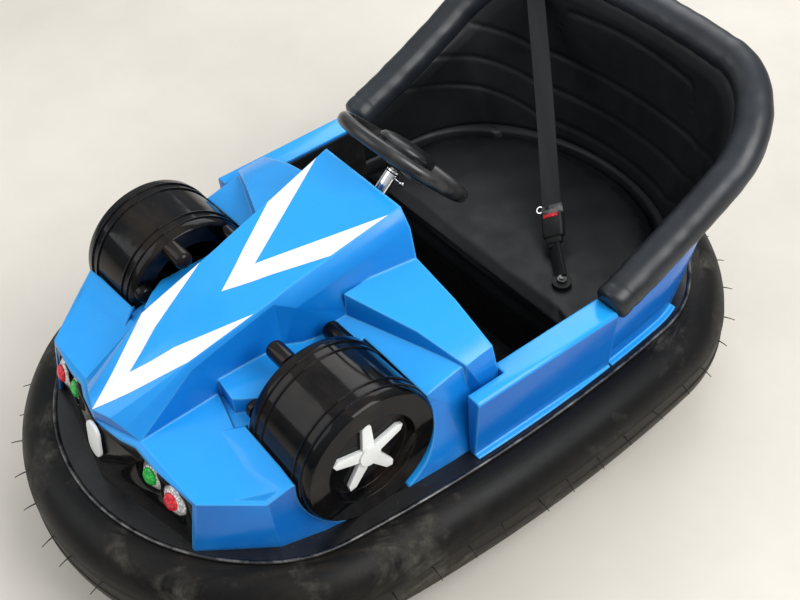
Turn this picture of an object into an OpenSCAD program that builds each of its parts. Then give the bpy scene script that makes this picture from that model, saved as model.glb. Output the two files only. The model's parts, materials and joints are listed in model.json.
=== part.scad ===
// Battery bumper car with a moulded racing-car body, a rubber bumper ring and a padded tub seat.
// The nose points along -Y, the car's left side is +X and the floor is at z = 0.

/* [Bumper ring] */
// Half of the overall width across the rubber ring
ring_half_w = 560; // [540:5:600]
// Half of the overall length across the rubber ring
ring_half_l = 842; // [820:2:880]
// Radius of the gently bowed sides, seen from above
side_arc_r = 3600; // [3200:50:4200]
// Distance of the corner arcs' centres from the ring's ends
corner_set = 448.4; // [430:0.2:460]
// Radius of the four corners, seen from above
corner_arc_r = 370; // [340:5:390]
// Height of the ring's underside above the floor
ring_bottom = 88; // [80:1:100]
// Height of the rubber ring
ring_h = 196; // [180:2:220]
// Width of the rubber ring, from its face to the steel hoop
ring_w = 94; // [90:1:104]
// Radius of the ring's upper outer shoulder
ring_top_r = 78; // [60:1:84]
// Radius of the ring's lower outer shoulder
ring_low_r = 72; // [50:1:84]

/* [Steel hoop and chassis] */
// Thickness of the hoop's upright band
hoop_t = 6; // [4:0.5:8]
// Thickness of the hoop's top flange
flange_t = 4; // [3:0.5:6]
// Width of the flange, from its bead inwards
flange_w = 56; // [45:1:65]
// How far the flange laps over the rubber
flange_lap = 8; // [4:1:14]
// Radius of the round bead on the flange's edge
bead_r = 4; // [3:0.5:6]
// Height of the chassis tubes
rail_h = 30; // [25:1:40]
// Width of the chassis tubes
rail_w = 40; // [30:1:50]
// Wall of the chassis tubes
rail_t = 3; // [2:0.5:4]
// Gap between a long rail and the rear tyre beside it
rail_gap = 7; // [5.5:0.5:12]
// Height of the underside of the rails
rail_bottom = 104; // [100:1:110]
// Thickness of the floor sheet
pan_t = 4; // [3:0.5:6]

/* [Body shell] */
// Wall of the moulded shell
shell_t = 6; // [4:0.5:8]
// Clearance between seated pieces
seat_gap = 0.3; // [0.2:0.1:0.5]
// Y of the cowl's rear edge, where the cockpit starts
cockpit_front = -20; // [-40:5:0]
// Height of the deck in front of the platforms
deck_z = 456; // [448:1:458]
// Height of the platforms beside the hood
platform_z = 490; // [478:1:500]
// Depth of the turned-in flange round the hood's rear edge
hood_lip = 18; // [12:1:25]
// Width of the sill's top
sill_w = 62; // [56:1:72]
// Distance of the sill's outer edge from the ring's face
sill_set = 98; // [90:1:110]
// Height of the sill's top
sill_z = 456; // [440:1:470]
// Y where the sills end and the seat tub starts
tub_front = 262; // [250:2:280]

/* [Drums] */
// Radius of the two drums that stand for front wheels
drum_r = 151; // [145:1:153]
// Inner end of a drum, on a cowl as wide as its tables are drawn for
drum_in = 216; // [210:1:222]
// Distance of a drum's outer face from the ring's face
drum_set = 146; // [140:1:155]
// Y of the drums' axis
drum_y = -331; // [-334:1:-328]
// How much of a drum's round is trimmed flat where it stands
drum_trim = 11.6; // [6:0.2:16]
// Wall of a drum
drum_t = 8; // [5:1:12]
// Depth of the dish in the drum's outer face
dish_depth = 22; // [12:1:40]
// Radius of the dish
dish_r = 101; // [80:1:115]
// Height of the raised ridges round the drum
ridge_h = 3; // [2:0.5:4]
// Gap between a drum and the well it stands in
well_gap = 2; // [1.5:0.5:4]
// Radius of the round pegs on the drum's inner end
peg_r = 20; // [14:1:21]

/* [Seat tub] */
// Radius of the padded roll along the tub's edge
roll_r = 41; // [36:1:44]
// Thickness of the padded lining inside the tub
lining_t = 34; // [24:1:45]
// Height of the roll's middle at its front ends
roll_front_z = 455; // [450:1:475]
// Height of the roll's middle at the back
roll_back_z = 717; // [690:1:760]
// Distance of the roll's middle at its rear corners from the ring's rear end
roll_back_set = 78; // [70:1:92]
// How far the back bows out behind its corners
roll_bow = 28; // [20:1:34]
// Radius of the roll's rear corners, seen from above
roll_corner = 178; // [160:2:200]
// Distance of the roll's middle along the sides from the ring's face
roll_set = 129; // [124:1:134]
// Height of the seat cushion's top
cushion_z = 338; // [320:2:360]
// Thickness of the seat cushion
cushion_t = 90; // [70:2:110]
// Y of the cushion's front edge
cushion_front = 228; // [220:2:240]

/* [Wheels] */
// Radius of the two rear tyres
rear_r = 90; // [80:1:95]
// Width of the rear tyres
rear_w = 46; // [36:1:55]
// Least distance of a rear wheel's slot in the floor sheet from the hoop
slot_edge = 4.3; // [3:0.1:12]
// Distance of the rear axle from the ring's rear end
rear_back_set = 342; // [332:5:362]
// Radius of the rear axle
axle_r = 10; // [8:0.5:12]
// Radius of the front drive tyre
drive_r = 110; // [100:1:118]
// Width of the drive tyre
drive_w = 56; // [46:1:64]
// Y of the drive unit's upright axis
drive_y = -380; // [-400:5:-360]
// Radius of the drive motor
motor_r = 56; // [48:1:60]

/* [Steering] */
// Radius of the steering wheel, to the outside of its rim
wheel_r = 157; // [145:1:170]
// Radius of the rim's tube
wheel_tube_r = 15; // [10:1:17]
// Y of the steering wheel's middle
wheel_y = 84; // [78:1:90]
// Height of the steering wheel's middle
wheel_z = 682; // [676:1:690]
// Slope of the column above level
column_tilt = 42; // [38:1:45]
// Radius of the bright column tube
column_r = 15; // [12:1:18]
// Radius of the turning shaft inside it
shaft_r = 9; // [7:1:10]
// Radial running clearance of the shafts
run_gap = 0.05; // [0.03:0.01:0.08]

/* [Hidden] */
$fn = 64;

ring_top = ring_bottom + ring_h;
flange_z = ring_top + seat_gap;
base_z = flange_z + flange_t + seat_gap;
pan_z = rail_bottom + rail_h;
floor_z = pan_z + pan_t;
hoop_d = ring_w + seat_gap;
inner_d = hoop_d + hoop_t;
side_arc_angle = asin((ring_half_l - corner_set) / (side_arc_r - corner_arc_r));
end_mid_y = end_centre_y();

// The cowl's tables are drawn for a rear foot at cowl_x. They are set to the hoop's width by cowl_k.
cowl_x = 428;
foot_set = 132;
cowl_k = (ring_half_w - foot_set) / cowl_x;
function wide(points) = [for (p = points) concat(cowl_k * p[0], [for (i = [1:len(p) - 1]) p[i]])];

// Room round a rear tyre in its slot in the floor sheet.
slot_room_x = 12;
slot_room_y = 10;

sill_out_x = ring_half_w - sill_set;
sill_in_x = sill_out_x - sill_w;
drum_out_x = ring_half_w - drum_set;
drum_in_x = cowl_k * drum_in;
drum_w = drum_out_x - drum_in_x;
drum_z = base_z + drum_r - drum_trim;
roll_back_y = ring_half_l - roll_back_set;
roll_x = ring_half_w - roll_set;
rear_y = ring_half_l - rear_back_set;
rear_x = side_x(rear_y + rear_r + slot_room_y, inner_d + seat_gap + slot_edge) - slot_room_x - rear_w / 2;
rail_x = rear_x - rear_w / 2 - rail_gap - rail_w / 2;

// The outline seen from above is three arcs a quarter, tangent to one another.
function corner_centre() = [
    ring_half_w - side_arc_r + (side_arc_r - corner_arc_r) * cos(side_arc_angle),
    (side_arc_r - corner_arc_r) * sin(side_arc_angle)];
function end_arc_r() = let (c = corner_centre(), s = c.y - ring_half_l)
    (pow(corner_arc_r, 2) - pow(c.x, 2) - s * s) / (2 * (s + corner_arc_r));
function end_centre_y() = ring_half_l - end_arc_r();
function end_arc_angle() = asin(corner_centre().x / (end_arc_r() - corner_arc_r));

// One quarter of the outline as points, drawn in by d, from the side's middle to the rear end.
function quarter(d, n = 5) = let (c = corner_centre(), b = 90 - end_arc_angle())
    concat(
        [for (i = [0:n - 1]) let (a = side_arc_angle * i / n)
            [ring_half_w - side_arc_r + (side_arc_r - d) * cos(a), (side_arc_r - d) * sin(a)]],
        [for (i = [0:n - 1]) let (a = side_arc_angle + (b - side_arc_angle) * i / n)
            c + (corner_arc_r - d) * [cos(a), sin(a)]],
        [for (i = [0:n]) let (a = b + (90 - b) * i / n)
            [(end_arc_r() - d) * cos(a), end_mid_y + (end_arc_r() - d) * sin(a)]]);

// Half-width at a station y of the outline drawn in by d.
function side_x(y, d) = let (c = corner_centre(), u = abs(y), e = end_arc_angle())
    u <= (side_arc_r - d) * sin(side_arc_angle)
    ? ring_half_w - side_arc_r + sqrt(pow(side_arc_r - d, 2) - u * u)
    : u <= c.y + (corner_arc_r - d) * cos(e) ? c.x + sqrt(pow(corner_arc_r - d, 2) - pow(u - c.y, 2))
    : sqrt(pow(end_arc_r() - d, 2) - pow(u - end_mid_y, 2));

function flip_x(p) = [for (i = [len(p) - 1:-1:0]) [-p[i].x, p[i].y]];
function rear_half(d) = let (q = quarter(d)) concat(q, [for (k = [1:len(q) - 1]) flip_x(q)[k]]);
function outline(d) = let (h = rear_half(d), m = len(h) - 2)
    concat([for (i = [0:m]) h[i]], [for (i = [0:m]) -h[i]]);

// Closed ring whose section, a list of [distance in from the ring's face, height], runs round the outline.
module ring_body(section) {
    n = len(outline(0));
    m = len(section);
    polyhedron(points = [for (s = section) for (p = outline(s[0])) [p.x, p.y, s[1]]], convexity = 8,
        faces = [for (j = [0:m - 1]) for (i = [0:n - 1]) let (k = (i + 1) % n, u = (j + 1) % m)
            [j * n + i, u * n + i, u * n + k, j * n + k]]);
}

// Skins a stack of loops that all have the same number of points.
module skin(loops) {
    n = len(loops[0]);
    m = len(loops);
    polyhedron(points = [for (l = loops) for (p = l) p], convexity = 8, faces = concat(
        [[for (i = [n - 1:-1:0]) i]],
        [for (j = [0:m - 2]) for (i = [0:n - 1]) let (k = (i + 1) % n)
            [j * n + i, j * n + k, (j + 1) * n + k, (j + 1) * n + i]],
        [[for (i = [0:n - 1]) (m - 1) * n + i]]));
}

module solid_of(points) {
    hull() polyhedron(points, [[for (i = [0:len(points) - 1]) i]]);
}

module cowl_block(points) {
    solid_of(wide(points));
}

module both_sides() {
    children();
    mirror([1, 0, 0]) children();
}

module tube_box(size, t) {
    difference() {
        cube(size, center = true);
        cube([size.x - 2 * t, size.y + 1, size.z - 2 * t], center = true);
    }
}

// Chassis

// Pads under the rails for a jack.
jack_y = 90;
jack_l = 80;
jack_t = 6;

// Distance of the rails' ends from the ring's ends, and of the rear cross tube from the axle.
rail_front_set = 307;
rail_rear_set = 227;
cross_gap = 140;

module chassis_frame() {
    z = rail_bottom + rail_h / 2;
    rail_front = -ring_half_l + rail_front_set;
    rail_rear = ring_half_l - rail_rear_set;
    cross_y = [-190, 180, rear_y - cross_gap];
    color("#202225") {
        for (s = [-1, 1]) translate([s * rail_x, (rail_front + rail_rear) / 2, z])
            tube_box([rail_w, rail_rear - rail_front, rail_h], rail_t);
        for (y = cross_y) translate([0, y, z]) rotate([0, 0, 90])
            tube_box([rail_w, 2 * rail_x - rail_w + 2 * rail_t, rail_h], rail_t);
        for (s = [-1, 1], y = cross_y) translate([s * (rail_x + rail_w / 2 - rail_t + outrigger(y) / 2), y, z])
            rotate([0, 0, 90]) tube_box([rail_w, outrigger(y), rail_h], rail_t);
        for (s = [-1, 1]) translate([s * rail_x, jack_y, rail_bottom - jack_t / 2])
            cube([rail_w, jack_l, jack_t], center = true);
    }
}

// Length of an outrigger from the rail to the hoop at a station.
function outrigger(y) = side_x(abs(y) + rail_w / 2, inner_d) - rail_x - rail_w / 2 + rail_t - 1;

// Hole in the floor sheet that the drive unit turns in.
drive_hole_r = 182;

module floor_pan() {
    color("#18191b") translate([0, 0, pan_z]) linear_extrude(pan_t) difference() {
        polygon(outline(inner_d + seat_gap));
        translate([0, drive_y]) circle(drive_hole_r);
        both_sides() translate([rear_x, rear_y])
            square([rear_w + 2 * slot_room_x, 2 * (rear_r + slot_room_y)], center = true);
    }
}

// Quarter round of a section, from angle a to angle b, in steps.
function round_part(d, z, r, a, b, steps) =
    [for (i = [0:steps]) let (t = a + (b - a) * i / steps) [d - r * cos(t), z + r * sin(t)]];

module bumper_rim() {
    edge_d = ring_w - flange_lap;
    color("#141414") ring_body(concat(
        [[inner_d, ring_bottom + 6], [hoop_d, ring_bottom + 6], [hoop_d, flange_z]],
        round_part(edge_d, flange_z + bead_r, bead_r, -90, 90, 4),
        [[edge_d + bead_r, flange_z + flange_t], [edge_d + flange_w, flange_z + flange_t],
            [edge_d + flange_w, flange_z], [inner_d, flange_z]]));
}

module bumper_ring() {
    color("#232323") ring_body(concat(
        [[ring_w, ring_bottom]],
        round_part(ring_low_r, ring_bottom + ring_low_r, ring_low_r, -90, 0, 5),
        round_part(ring_top_r, ring_top - ring_top_r, ring_top_r, 0, 90, 5),
        [[ring_w, ring_top]]));
}

// Body shell

// Hood sections: y, skew of the section with x, top edge x and z, bevel edge x and z, side foot x and z.
HOOD = [
    [-690, 0.364, 42, 478, 74, 466, 107, 450],
    [-512, 0, 87, 556, 95, 542, 110, 462],
    [-322, 0, 100, 605, 104, 598, 112, 462],
    [-285, 0, 102, 617, 125, 580, 134, 462],
    [cockpit_front, 0, 124, 686, 152, 648, 190, 462]];

function hood_loop(r, t) = let (
        half = [[r[2] - 0.6 * t, r[3] - t], [r[4] - t, r[5] - 0.6 * t], [r[6] - t, r[7]], [r[6] - t, base_z - t]],
        left = [for (i = [3:-1:0]) half[i]],
        loop = concat(left, [[0, r[3] - t]], [for (p = half) [-p[0], p[1]]], [[0, base_z - t]]))
    [for (p = loop) [p[0], r[0] + r[1] * abs(p[0]), p[1]]];

module hood(t) {
    skin([for (i = [0:len(HOOD) - 1]) let (
            end = i == 0 ? 1.5 * t : (i == len(HOOD) - 1 ? -t : 0))
        [for (p = wide(hood_loop(HOOD[i], t))) p + [0, end, 0]]]);
}

// Corners of one front wing: plan position at the foot and at the top, with the top's height.
WING = [[[0, -655], [0, -690], 450], [[107, -655], [107, -651], 450], [[275, -665], [279, -641], 417],
    [[374, -533], [366, -541], 418]];
WING_RAMP = [[366, -541, 418], [383, -490, 451], [217, -485, 462], [185, -520, 447]];
// The deck and the body's side below it: foot x and y, then the top's x, y and z.
TRAY = [[275, -665, 279, -641, 406], [374, -533, 366, -541, 408], [398, -445, 383, -486, deck_z - 12],
    [418, -320, 392, -440, deck_z], [428, -150, 394, -200, deck_z],
    [428, cockpit_front, 404, cockpit_front, 412]];

function drawn_in(p, t, c) = let (v = p - c) norm(v) == 0 ? p : p - 1.25 * t * v / norm(v);
function low(t) = t > 0 ? base_z - 1 : base_z;

module wing(t) {
    c = [150, -540];
    cowl_block(concat(
        [for (w = WING) let (p = drawn_in(w[0], t, c)) [max(0, w[0].x == 0 ? 0 : p.x), p.y, low(t)]],
        [for (w = WING) let (p = drawn_in(w[1], t, c)) [max(0, w[1].x == 0 ? 0 : p.x), w[1].y + 1.2 * t, w[2] - t]],
        [[0, -470, low(t)], [0, -470, 458 - t], [115 + t, -478, 461 - t], [370 - t, -478, low(t)],
            [185, -520, 447 - t]]));
    cowl_block(concat(
        [for (w = WING_RAMP) [w.x - (w.x > 300 ? t : 0), w.y, w.z - t]],
        [[388 - t, -470, low(t)], [217, -470, low(t)], [383 - t, -476, 436 - t], [217, -472, 461 - t],
            [366 - t, -530, low(t)], [185, -520, low(t)]]));
}

module tray(t) {
    cowl_block(concat(
        [for (w = TRAY) [w[0] - 1.2 * t, w[1] + (w[1] < -600 ? t : 0), low(t)]],
        [for (w = TRAY) [w[2] - 1.2 * t, w[3] + (w[3] < -600 ? t : 0), w[4] - t]],
        [for (w = TRAY) [0, w[3] + (w[3] < -600 ? t : 0), w[4] - t]],
        [[0, -640 + t, low(t)], [0, cockpit_front, low(t)]]));
}

// Raised platform between the hood's side and a drum.
PLATFORM = concat(wide([[100, -468], [165, -475]]),
    [[drum_in_x - 24, drum_y - drum_r + 41], [drum_in_x - 4, drum_y - drum_r + 76]]);

module platform(t) {
    rear = fender_y + 20;
    translate([0, 0, deck_z - 10]) linear_extrude(platform_z - deck_z + 10 - t)
        polygon(concat([for (i = [0:3]) PLATFORM[i] + [i == 0 ? 0 : -t, t]],
            [[PLATFORM[3].x - t, rear], [PLATFORM[0].x, rear]]));
}

// Round space that a drum stands in, wider than the drum by a gap.
module drum_space(gap) {
    both_sides() translate([drum_in_x - gap, drum_y, drum_z]) rotate([0, 90, 0])
        cylinder(r = drum_r + ridge_h + gap, h = drum_out_x, $fn = 72);
}

// Y where the fenders start, beside the platforms.
fender_y = -215;

// Fender layers: the lower one lies behind the drum, the upper one laps over it as a raised sheet.
module fender_low(t) {
    cowl_block(concat(
        [[110, fender_y + t, 518 - t], [300, fender_y + t, 484 - t], [390 - t, fender_y + t, 468 - t]],
        [[110, -60, 548 - t], [300, -106, 510 - t], [391 - t, -106, 492 - t], [391 - t, -60, 492 - t]],
        [[110, fender_y + t, low(t)], [420 - t, fender_y + t, low(t)], [110, -60, low(t)],
            [426 - t, -60, low(t)]]));
}

module fender_high(t) {
    rear = cockpit_front;
    cowl_block(concat(
        [[150, -190 + t, 576 - t], [300, -128 + t, 544 - t], [399 - t, -89 + t, 500 - t]],
        [[150, rear, 582 - t], [286, rear, 550 - t], [396 - t, rear, 506 - t]],
        [[150, -190 + t, low(t)], [399 - t, -89 + t, low(t)], [150, rear, low(t)],
            [412 - t, -70, sill_z - 4], [412 - t, rear, sill_z - 4], [424 - t, rear, low(t)]]));
}

module cowl_mass(t) {
    hood(t);
    both_sides() {
        wing(t);
        tray(t);
        platform(t);
        fender_low(t);
        fender_high(t);
    }
}

// Left half of the rear opening: x and z, from the hood's top down to the foot.
REAR_OPENING = [[112, HOOD[4][3] - hood_lip], [138, HOOD[4][5] - hood_lip], [150, 560], [284, 532], [380, 488],
    [396, base_z - 5]];

module front_cowl() {
    color("#1e88e5") difference() {
        cowl_mass(0);
        drum_space(well_gap);
        difference() {
            cowl_mass(shell_t);
            drum_space(well_gap + shell_t);
        }
        // The rear edge is open, inside a turned-in flange.
        translate([0, cockpit_front, 0]) rotate([90, 0, 0]) translate([0, 0, -5]) linear_extrude(shell_t + 9)
            polygon(wide(concat(REAR_OPENING, flip_x(REAR_OPENING))));
        // The nose is open under its front edge, where the dark fascia fills it.
        translate([0, -615, 0]) rotate([90, 0, 0]) linear_extrude(110) polygon(nose_opening(0));
    }
}

function nose_opening(in) = wide([[-268 + in, base_z - 5], [268 - in, base_z - 5], [268 - in, 409 - in],
    [107, 441 - in], [-107, 441 - in], [-268 + in, 409 - in]]);

// The sill's outer wall leans in by sill_lean to its foot. In front it laps round the fender.
sill_lean = 15;
sill_edge = 6;
lap_x = ring_half_w - foot_set + 0.5;
lap_y = -112;

// Section of the sill, from its inner side at in_x, and of its hollow.
function sill_section(in_x) = [[in_x, base_z], [in_x, sill_z], [sill_out_x - sill_edge, sill_z],
    [sill_out_x, sill_z - sill_edge], [sill_out_x - sill_lean, base_z]];
function sill_hollow(in_x) = [[in_x + shell_t, base_z - 1], [in_x + shell_t, sill_z - shell_t],
    [sill_out_x - shell_t - 3, sill_z - shell_t], [sill_out_x - sill_lean - shell_t - 1, base_z - 1]];

// Narrow foot that the body rests on the hoop with, outside its wall.
foot_t = 5;
foot_out_d = 98;
foot_in_d = 116;
foot_end_y = 492;
foot_lead = 3;
sill_rear = tub_front - 0.8;

module along_y(rear, front) {
    translate([0, rear, 0]) rotate([90, 0, 0]) linear_extrude(rear - front) children();
}

module foot_strip(front, rear) {
    steps = [for (i = [0:8]) front + (rear - front) * i / 8];
    translate([0, 0, base_z]) linear_extrude(foot_t) polygon(concat(
        [for (y = steps) [side_x(y, foot_out_d), y]],
        [for (i = [8:-1:0]) [side_x(steps[i], foot_in_d), steps[i]]]));
}

module sill() {
    y0 = cockpit_front + seat_gap;
    difference() {
        union() {
            along_y(sill_rear, y0) polygon(sill_section(sill_in_x));
            along_y(y0 + 1, lap_y) polygon(sill_section(lap_x));
            foot_strip(lap_y, sill_rear);
        }
        along_y(tub_front - shell_t, y0 + shell_t) polygon(sill_hollow(sill_in_x));
        along_y(y0 + 8, lap_y + 8) polygon(sill_hollow(lap_x));
    }
}

module sill_left() {
    color("#1e88e5") sill();
}

module sill_right() {
    color("#1e88e5") mirror([1, 0, 0]) sill();
}

// Seat tub: a U seen from above. Its foot follows the hoop, its edge carries the padded roll.

roll_n = 32;

// Middle line of the roll from the car's left front end to its right front end.
function roll_plan(i) = let (
        straight = roll_back_y - roll_corner - tub_front,
        quarter_l = PI / 2 * roll_corner,
        back = roll_x - roll_corner,
        total = straight + quarter_l + back,
        s = total * min(i, roll_n - i) / (roll_n / 2),
        a = (s - straight) / roll_corner * 180 / PI,
        p = s < straight ? [roll_x, tub_front + s]
            : s < straight + quarter_l
            ? [back + roll_corner * cos(a), roll_back_y - roll_corner + roll_corner * sin(a)]
            : [total - s, roll_back_y],
        out = roll_bow * (1 - pow(p.x / roll_x, 2)) * (p.y - tub_front) / (roll_back_y - tub_front))
    [i <= roll_n / 2 ? p.x : -p.x, p.y + out];
function roll_height(y) = let (f = (y - tub_front) / (roll_back_y - tub_front))
    roll_front_z + (roll_back_z - roll_front_z) * (0.73 * f + 0.27 * f * f);
roll_path = [for (i = [0:roll_n]) let (p = roll_plan(i)) [p.x, p.y, roll_height(p.y)]];

// Point of the tub's foot under a point of the roll, drawn in by d from the ring's face. Along the
// straight sides it lies square to the roll, and round the back it lies on a ray from the corners' line.
function foot_of(p, d) = let (y0 = roll_back_y - roll_corner)
    p.y <= y0 ? [sign(p.x) * side_x(p.y, d), p.y] : let (q = rear_half(d), u = atan2(p.x, p.y - y0),
        rows = [for (k = [0:len(q) - 2]) let (a = atan2(q[k].x, q[k].y - y0),
            b = atan2(q[k + 1].x, q[k + 1].y - y0)) if (u <= a && u >= b)
            q[k] + (q[k + 1] - q[k]) * (a - u) / max(a - b, 0.001)]) rows[0];

tub_foot_d = 112;

function unit(v) = v / norm(v);

// Outward direction of the roll's line in plan, and the slope of its rise.
function step_of(i) = roll_path[min(i + 1, roll_n)] - roll_path[max(i - 1, 0)];
function plan_normal(i) = let (d = step_of(i)) unit([d.y, -d.x]);
function rise_cos(i) = let (d = step_of(i)) norm([d.x, d.y]) / norm(d);

// The wall swells outwards a little between its foot and the roll.
wall_swell = 8;
function wall_point(i, out, z) = let (p = roll_path[i], f = foot_of(p, tub_foot_d),
        k = (z - base_z) / (p.z - base_z), q = f + ([p.x, p.y] - f) * k)
    concat(q + (out + wall_swell * sin(180 * k)) * plan_normal(i), z);

module tub_wall(outer, inner, low_z) {
    rows = [0:0.2:1];
    loops = [for (i = [0:roll_n]) let (
            high_z = roll_path[i].z - roll_r / rise_cos(i) - 0.9,
            levels = [for (f = rows) low_z + (high_z - low_z) * f])
        concat([for (z = levels) wall_point(i, outer, z)],
            [for (j = [len(levels) - 1:-1:0]) wall_point(i, inner, levels[j])])];
    skin(loops);
}

module rear_shell() {
    color("#1e88e5") {
        tub_wall(0, -shell_t, base_z);
        both_sides() foot_strip(tub_front + foot_lead, foot_end_y);
    }
}

lining_gap = 3.2;

module seat_back() {
    color("#17181a") tub_wall(-shell_t - lining_gap, -shell_t - lining_gap - lining_t, cushion_z + seat_gap);
}

// Sweeps a round section along a path. Each ring stands square to the path's plan direction.
module sweep(path, r, sides) {
    n = len(path);
    skin([for (i = [0:n - 1]) let (
            d = path[min(i + 1, n - 1)] - path[max(i - 1, 0)],
            side = unit([d.y, -d.x, 0]),
            up = cross(side, unit(d)))
        [for (k = [0:sides - 1]) let (a = -360 * k / sides)
            path[i] + r * (cos(a) * side - sin(a) * up)]]);
}

module rim_roll() {
    color("#141516") sweep(roll_path, roll_r, 12);
}

// Half-width of the cushion and of the box below it.
seat_half_w = sill_in_x - 20;

module seat_plan(d, front, half_w) {
    intersection() {
        polygon(outline(d));
        translate([-half_w, front]) square([2 * half_w, ring_half_l]);
    }
}

board_t = 6;

module seat_base() {
    h = cushion_z - cushion_t - seat_gap - floor_z;
    color("#131416") translate([0, 0, floor_z]) difference() {
        linear_extrude(h) seat_plan(inner_d + 4, cushion_front + 6, seat_half_w);
        translate([0, 0, -1]) linear_extrude(h - 5)
            seat_plan(inner_d + 4 + board_t, cushion_front + 6 + board_t, seat_half_w - board_t);
    }
}

module seat_cushion() {
    color("#1a1b1d") translate([0, 0, cushion_z - cushion_t]) linear_extrude(cushion_t)
        seat_plan(ring_w - flange_lap + flange_w + 4, cushion_front, seat_half_w);
}

BATTERY = [400, 190, 100];
battery_y = cushion_front + 82;

module battery_block() {
    color("#3a3d40") translate([-BATTERY.x / 2, battery_y, floor_z + seat_gap]) cube(BATTERY);
}

panel_t = 4;

module footwell_panels() {
    color("#121315") both_sides() translate([sill_in_x - panel_t - seat_gap, cockpit_front + 8, floor_z + seat_gap])
        cube([panel_t, tub_front - cockpit_front - 10, sill_z - 8 - floor_z]);
}

// Nose

// Corners of the fascia's front face: x, y and z.
FASCIA = [[267, -657, 0], [107, -668, 0], [0, -712, 0], [267, -645, 408], [107, -653, 440], [0, -694, 440]];

module fascia() {
    color("#0b0b0c") difference() {
        intersection() {
            cowl_block([for (s = [-1, 1]) for (p = FASCIA) for (back = [0, 1])
                [s * p.x, back == 1 ? -618 : p.y, p.z == 0 ? base_z + 0.2 : p.z]]);
            translate([0, -600, 0]) rotate([90, 0, 0]) linear_extrude(140) polygon(nose_opening(0.6));
        }
        both_sides() for (p = [LAMP_RED, LAMP_GREEN]) at_lamp(p)
            translate([0, 0, -lamp_sink]) cylinder(r = lamp_r + seat_gap, h = 2 * lamp_r);
    }
}

// Lamps: middle of each one's seat in the fascia. The red one is outside.
LAMP_RED = [215, -652, 381];
LAMP_GREEN = [146, -654, 393];
lamp_r = 34.5;
lamp_sink = 12;
lamp_up = 14;
lamp_out = 8;
skirt_h = 12;
cap_r = 19;
cap_sink = 4;
cap_round = 24;
lamp_tip = 22;

module at_lamp(p) {
    translate([cowl_k * p.x, p.y, p.z]) rotate([90 - lamp_up, 0, lamp_out]) children();
}

// A coloured cap on the tip of a bright skirt that flares to the fascia.
module lamp_lens() {
    intersection() {
        translate([0, 0, lamp_tip - cap_round]) sphere(cap_round);
        translate([0, 0, skirt_h - cap_sink]) cylinder(r = cap_r, h = lamp_tip);
    }
}

module lamp_bezels() {
    color("#d8dadd") both_sides() for (p = [LAMP_RED, LAMP_GREEN]) at_lamp(p) difference() {
        union() {
            translate([0, 0, -lamp_sink + seat_gap]) cylinder(r = lamp_r, h = lamp_sink + 2 - seat_gap);
            translate([0, 0, 2]) cylinder(r1 = lamp_r, r2 = cap_r + 2, h = skirt_h - 2);
        }
        translate([0, 0, skirt_h - cap_sink - seat_gap]) cylinder(r = cap_r + seat_gap, h = lamp_tip);
    }
}

module lamp_red_left() {
    color("#d3122a") at_lamp(LAMP_RED) lamp_lens();
}

module lamp_red_right() {
    color("#d3122a") mirror([1, 0, 0]) at_lamp(LAMP_RED) lamp_lens();
}

module lamp_green_left() {
    color("#12a53a") at_lamp(LAMP_GREEN) lamp_lens();
}

module lamp_green_right() {
    color("#12a53a") mirror([1, 0, 0]) at_lamp(LAMP_GREEN) lamp_lens();
}

// Plain oval on the nose: its middle, its end radius and half the distance between its ends' centres.
BADGE = [0, -700.9, 402];
badge_r = 23;
badge_rise = 21;
badge_t = 8;

module nose_badge() {
    lean = atan((FASCIA[2].y - FASCIA[5].y) / (base_z - FASCIA[5].z));
    color("#f2f2f2") translate(BADGE) rotate([90 - lean, 0, 0]) translate([0, 0, -2])
        linear_extrude(badge_t) union() {
            square([2 * badge_r, 2 * badge_rise], center = true);
            for (s = [-1, 1]) translate([0, s * badge_rise]) circle(badge_r);
        }
}

// Drums that stand for front wheels

module at_drum() {
    translate([drum_in_x, drum_y, drum_z]) rotate([0, 90, 0]) children();
}

drum_lip = 44;
ridge_w = 3;

// The drum is a hollow moulding, open at its inner end. It is trimmed flat where it stands on the hoop.
module drum() {
    w = drum_w;
    edge = 6;
    face = w - dish_depth;
    profile = [[drum_r - drum_lip, 0], [drum_r - edge, 0], [drum_r, edge], [drum_r, w - edge], [drum_r - edge, w],
        [dish_r, w], [dish_r - edge, face], [0, face], [0, face - drum_t], [dish_r, face - drum_t],
        [drum_r - drum_t, w - drum_t - edge], [drum_r - drum_t, drum_t], [drum_r - drum_lip, drum_t]];
    difference() {
        at_drum() {
            rotate_extrude($fn = 96) polygon(profile);
            for (y = [24, 46, w - 48, w - 26]) translate([0, 0, y]) difference() {
                cylinder(r = drum_r + ridge_h, h = ridge_w, $fn = 96);
                translate([0, 0, -1]) cylinder(r = drum_r - 1, h = ridge_w + 2, $fn = 96);
            }
        }
        translate([drum_in_x - 10, drum_y - drum_r, base_z - 100]) cube([w + 20, 2 * drum_r, 100]);
    }
}

module drum_left() {
    color("#0d0d0e") drum();
}

module drum_right() {
    color("#0d0d0e") mirror([1, 0, 0]) drum();
}

// Plain hub trim with five pointed arms.
trim_arms = 5;
trim_r = 86;
trim_t = 9;
trim_boss_r = 24;
trim_boss_h = 14;

module hub_trim() {
    at_drum() translate([0, 0, drum_w - dish_depth + seat_gap]) {
        cylinder(r = trim_boss_r, h = trim_boss_h);
        for (k = [0:trim_arms - 1]) rotate([0, 0, (k + 0.5) * 360 / trim_arms]) linear_extrude(trim_t)
            polygon([[0, -15], [trim_r - 10, -10], [trim_r, 0], [trim_r - 10, 10], [0, 15]]);
    }
}

module hub_trim_left() {
    color("#f2f2f2") hub_trim();
}

module hub_trim_right() {
    color("#f2f2f2") mirror([1, 0, 0]) hub_trim();
}

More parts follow.
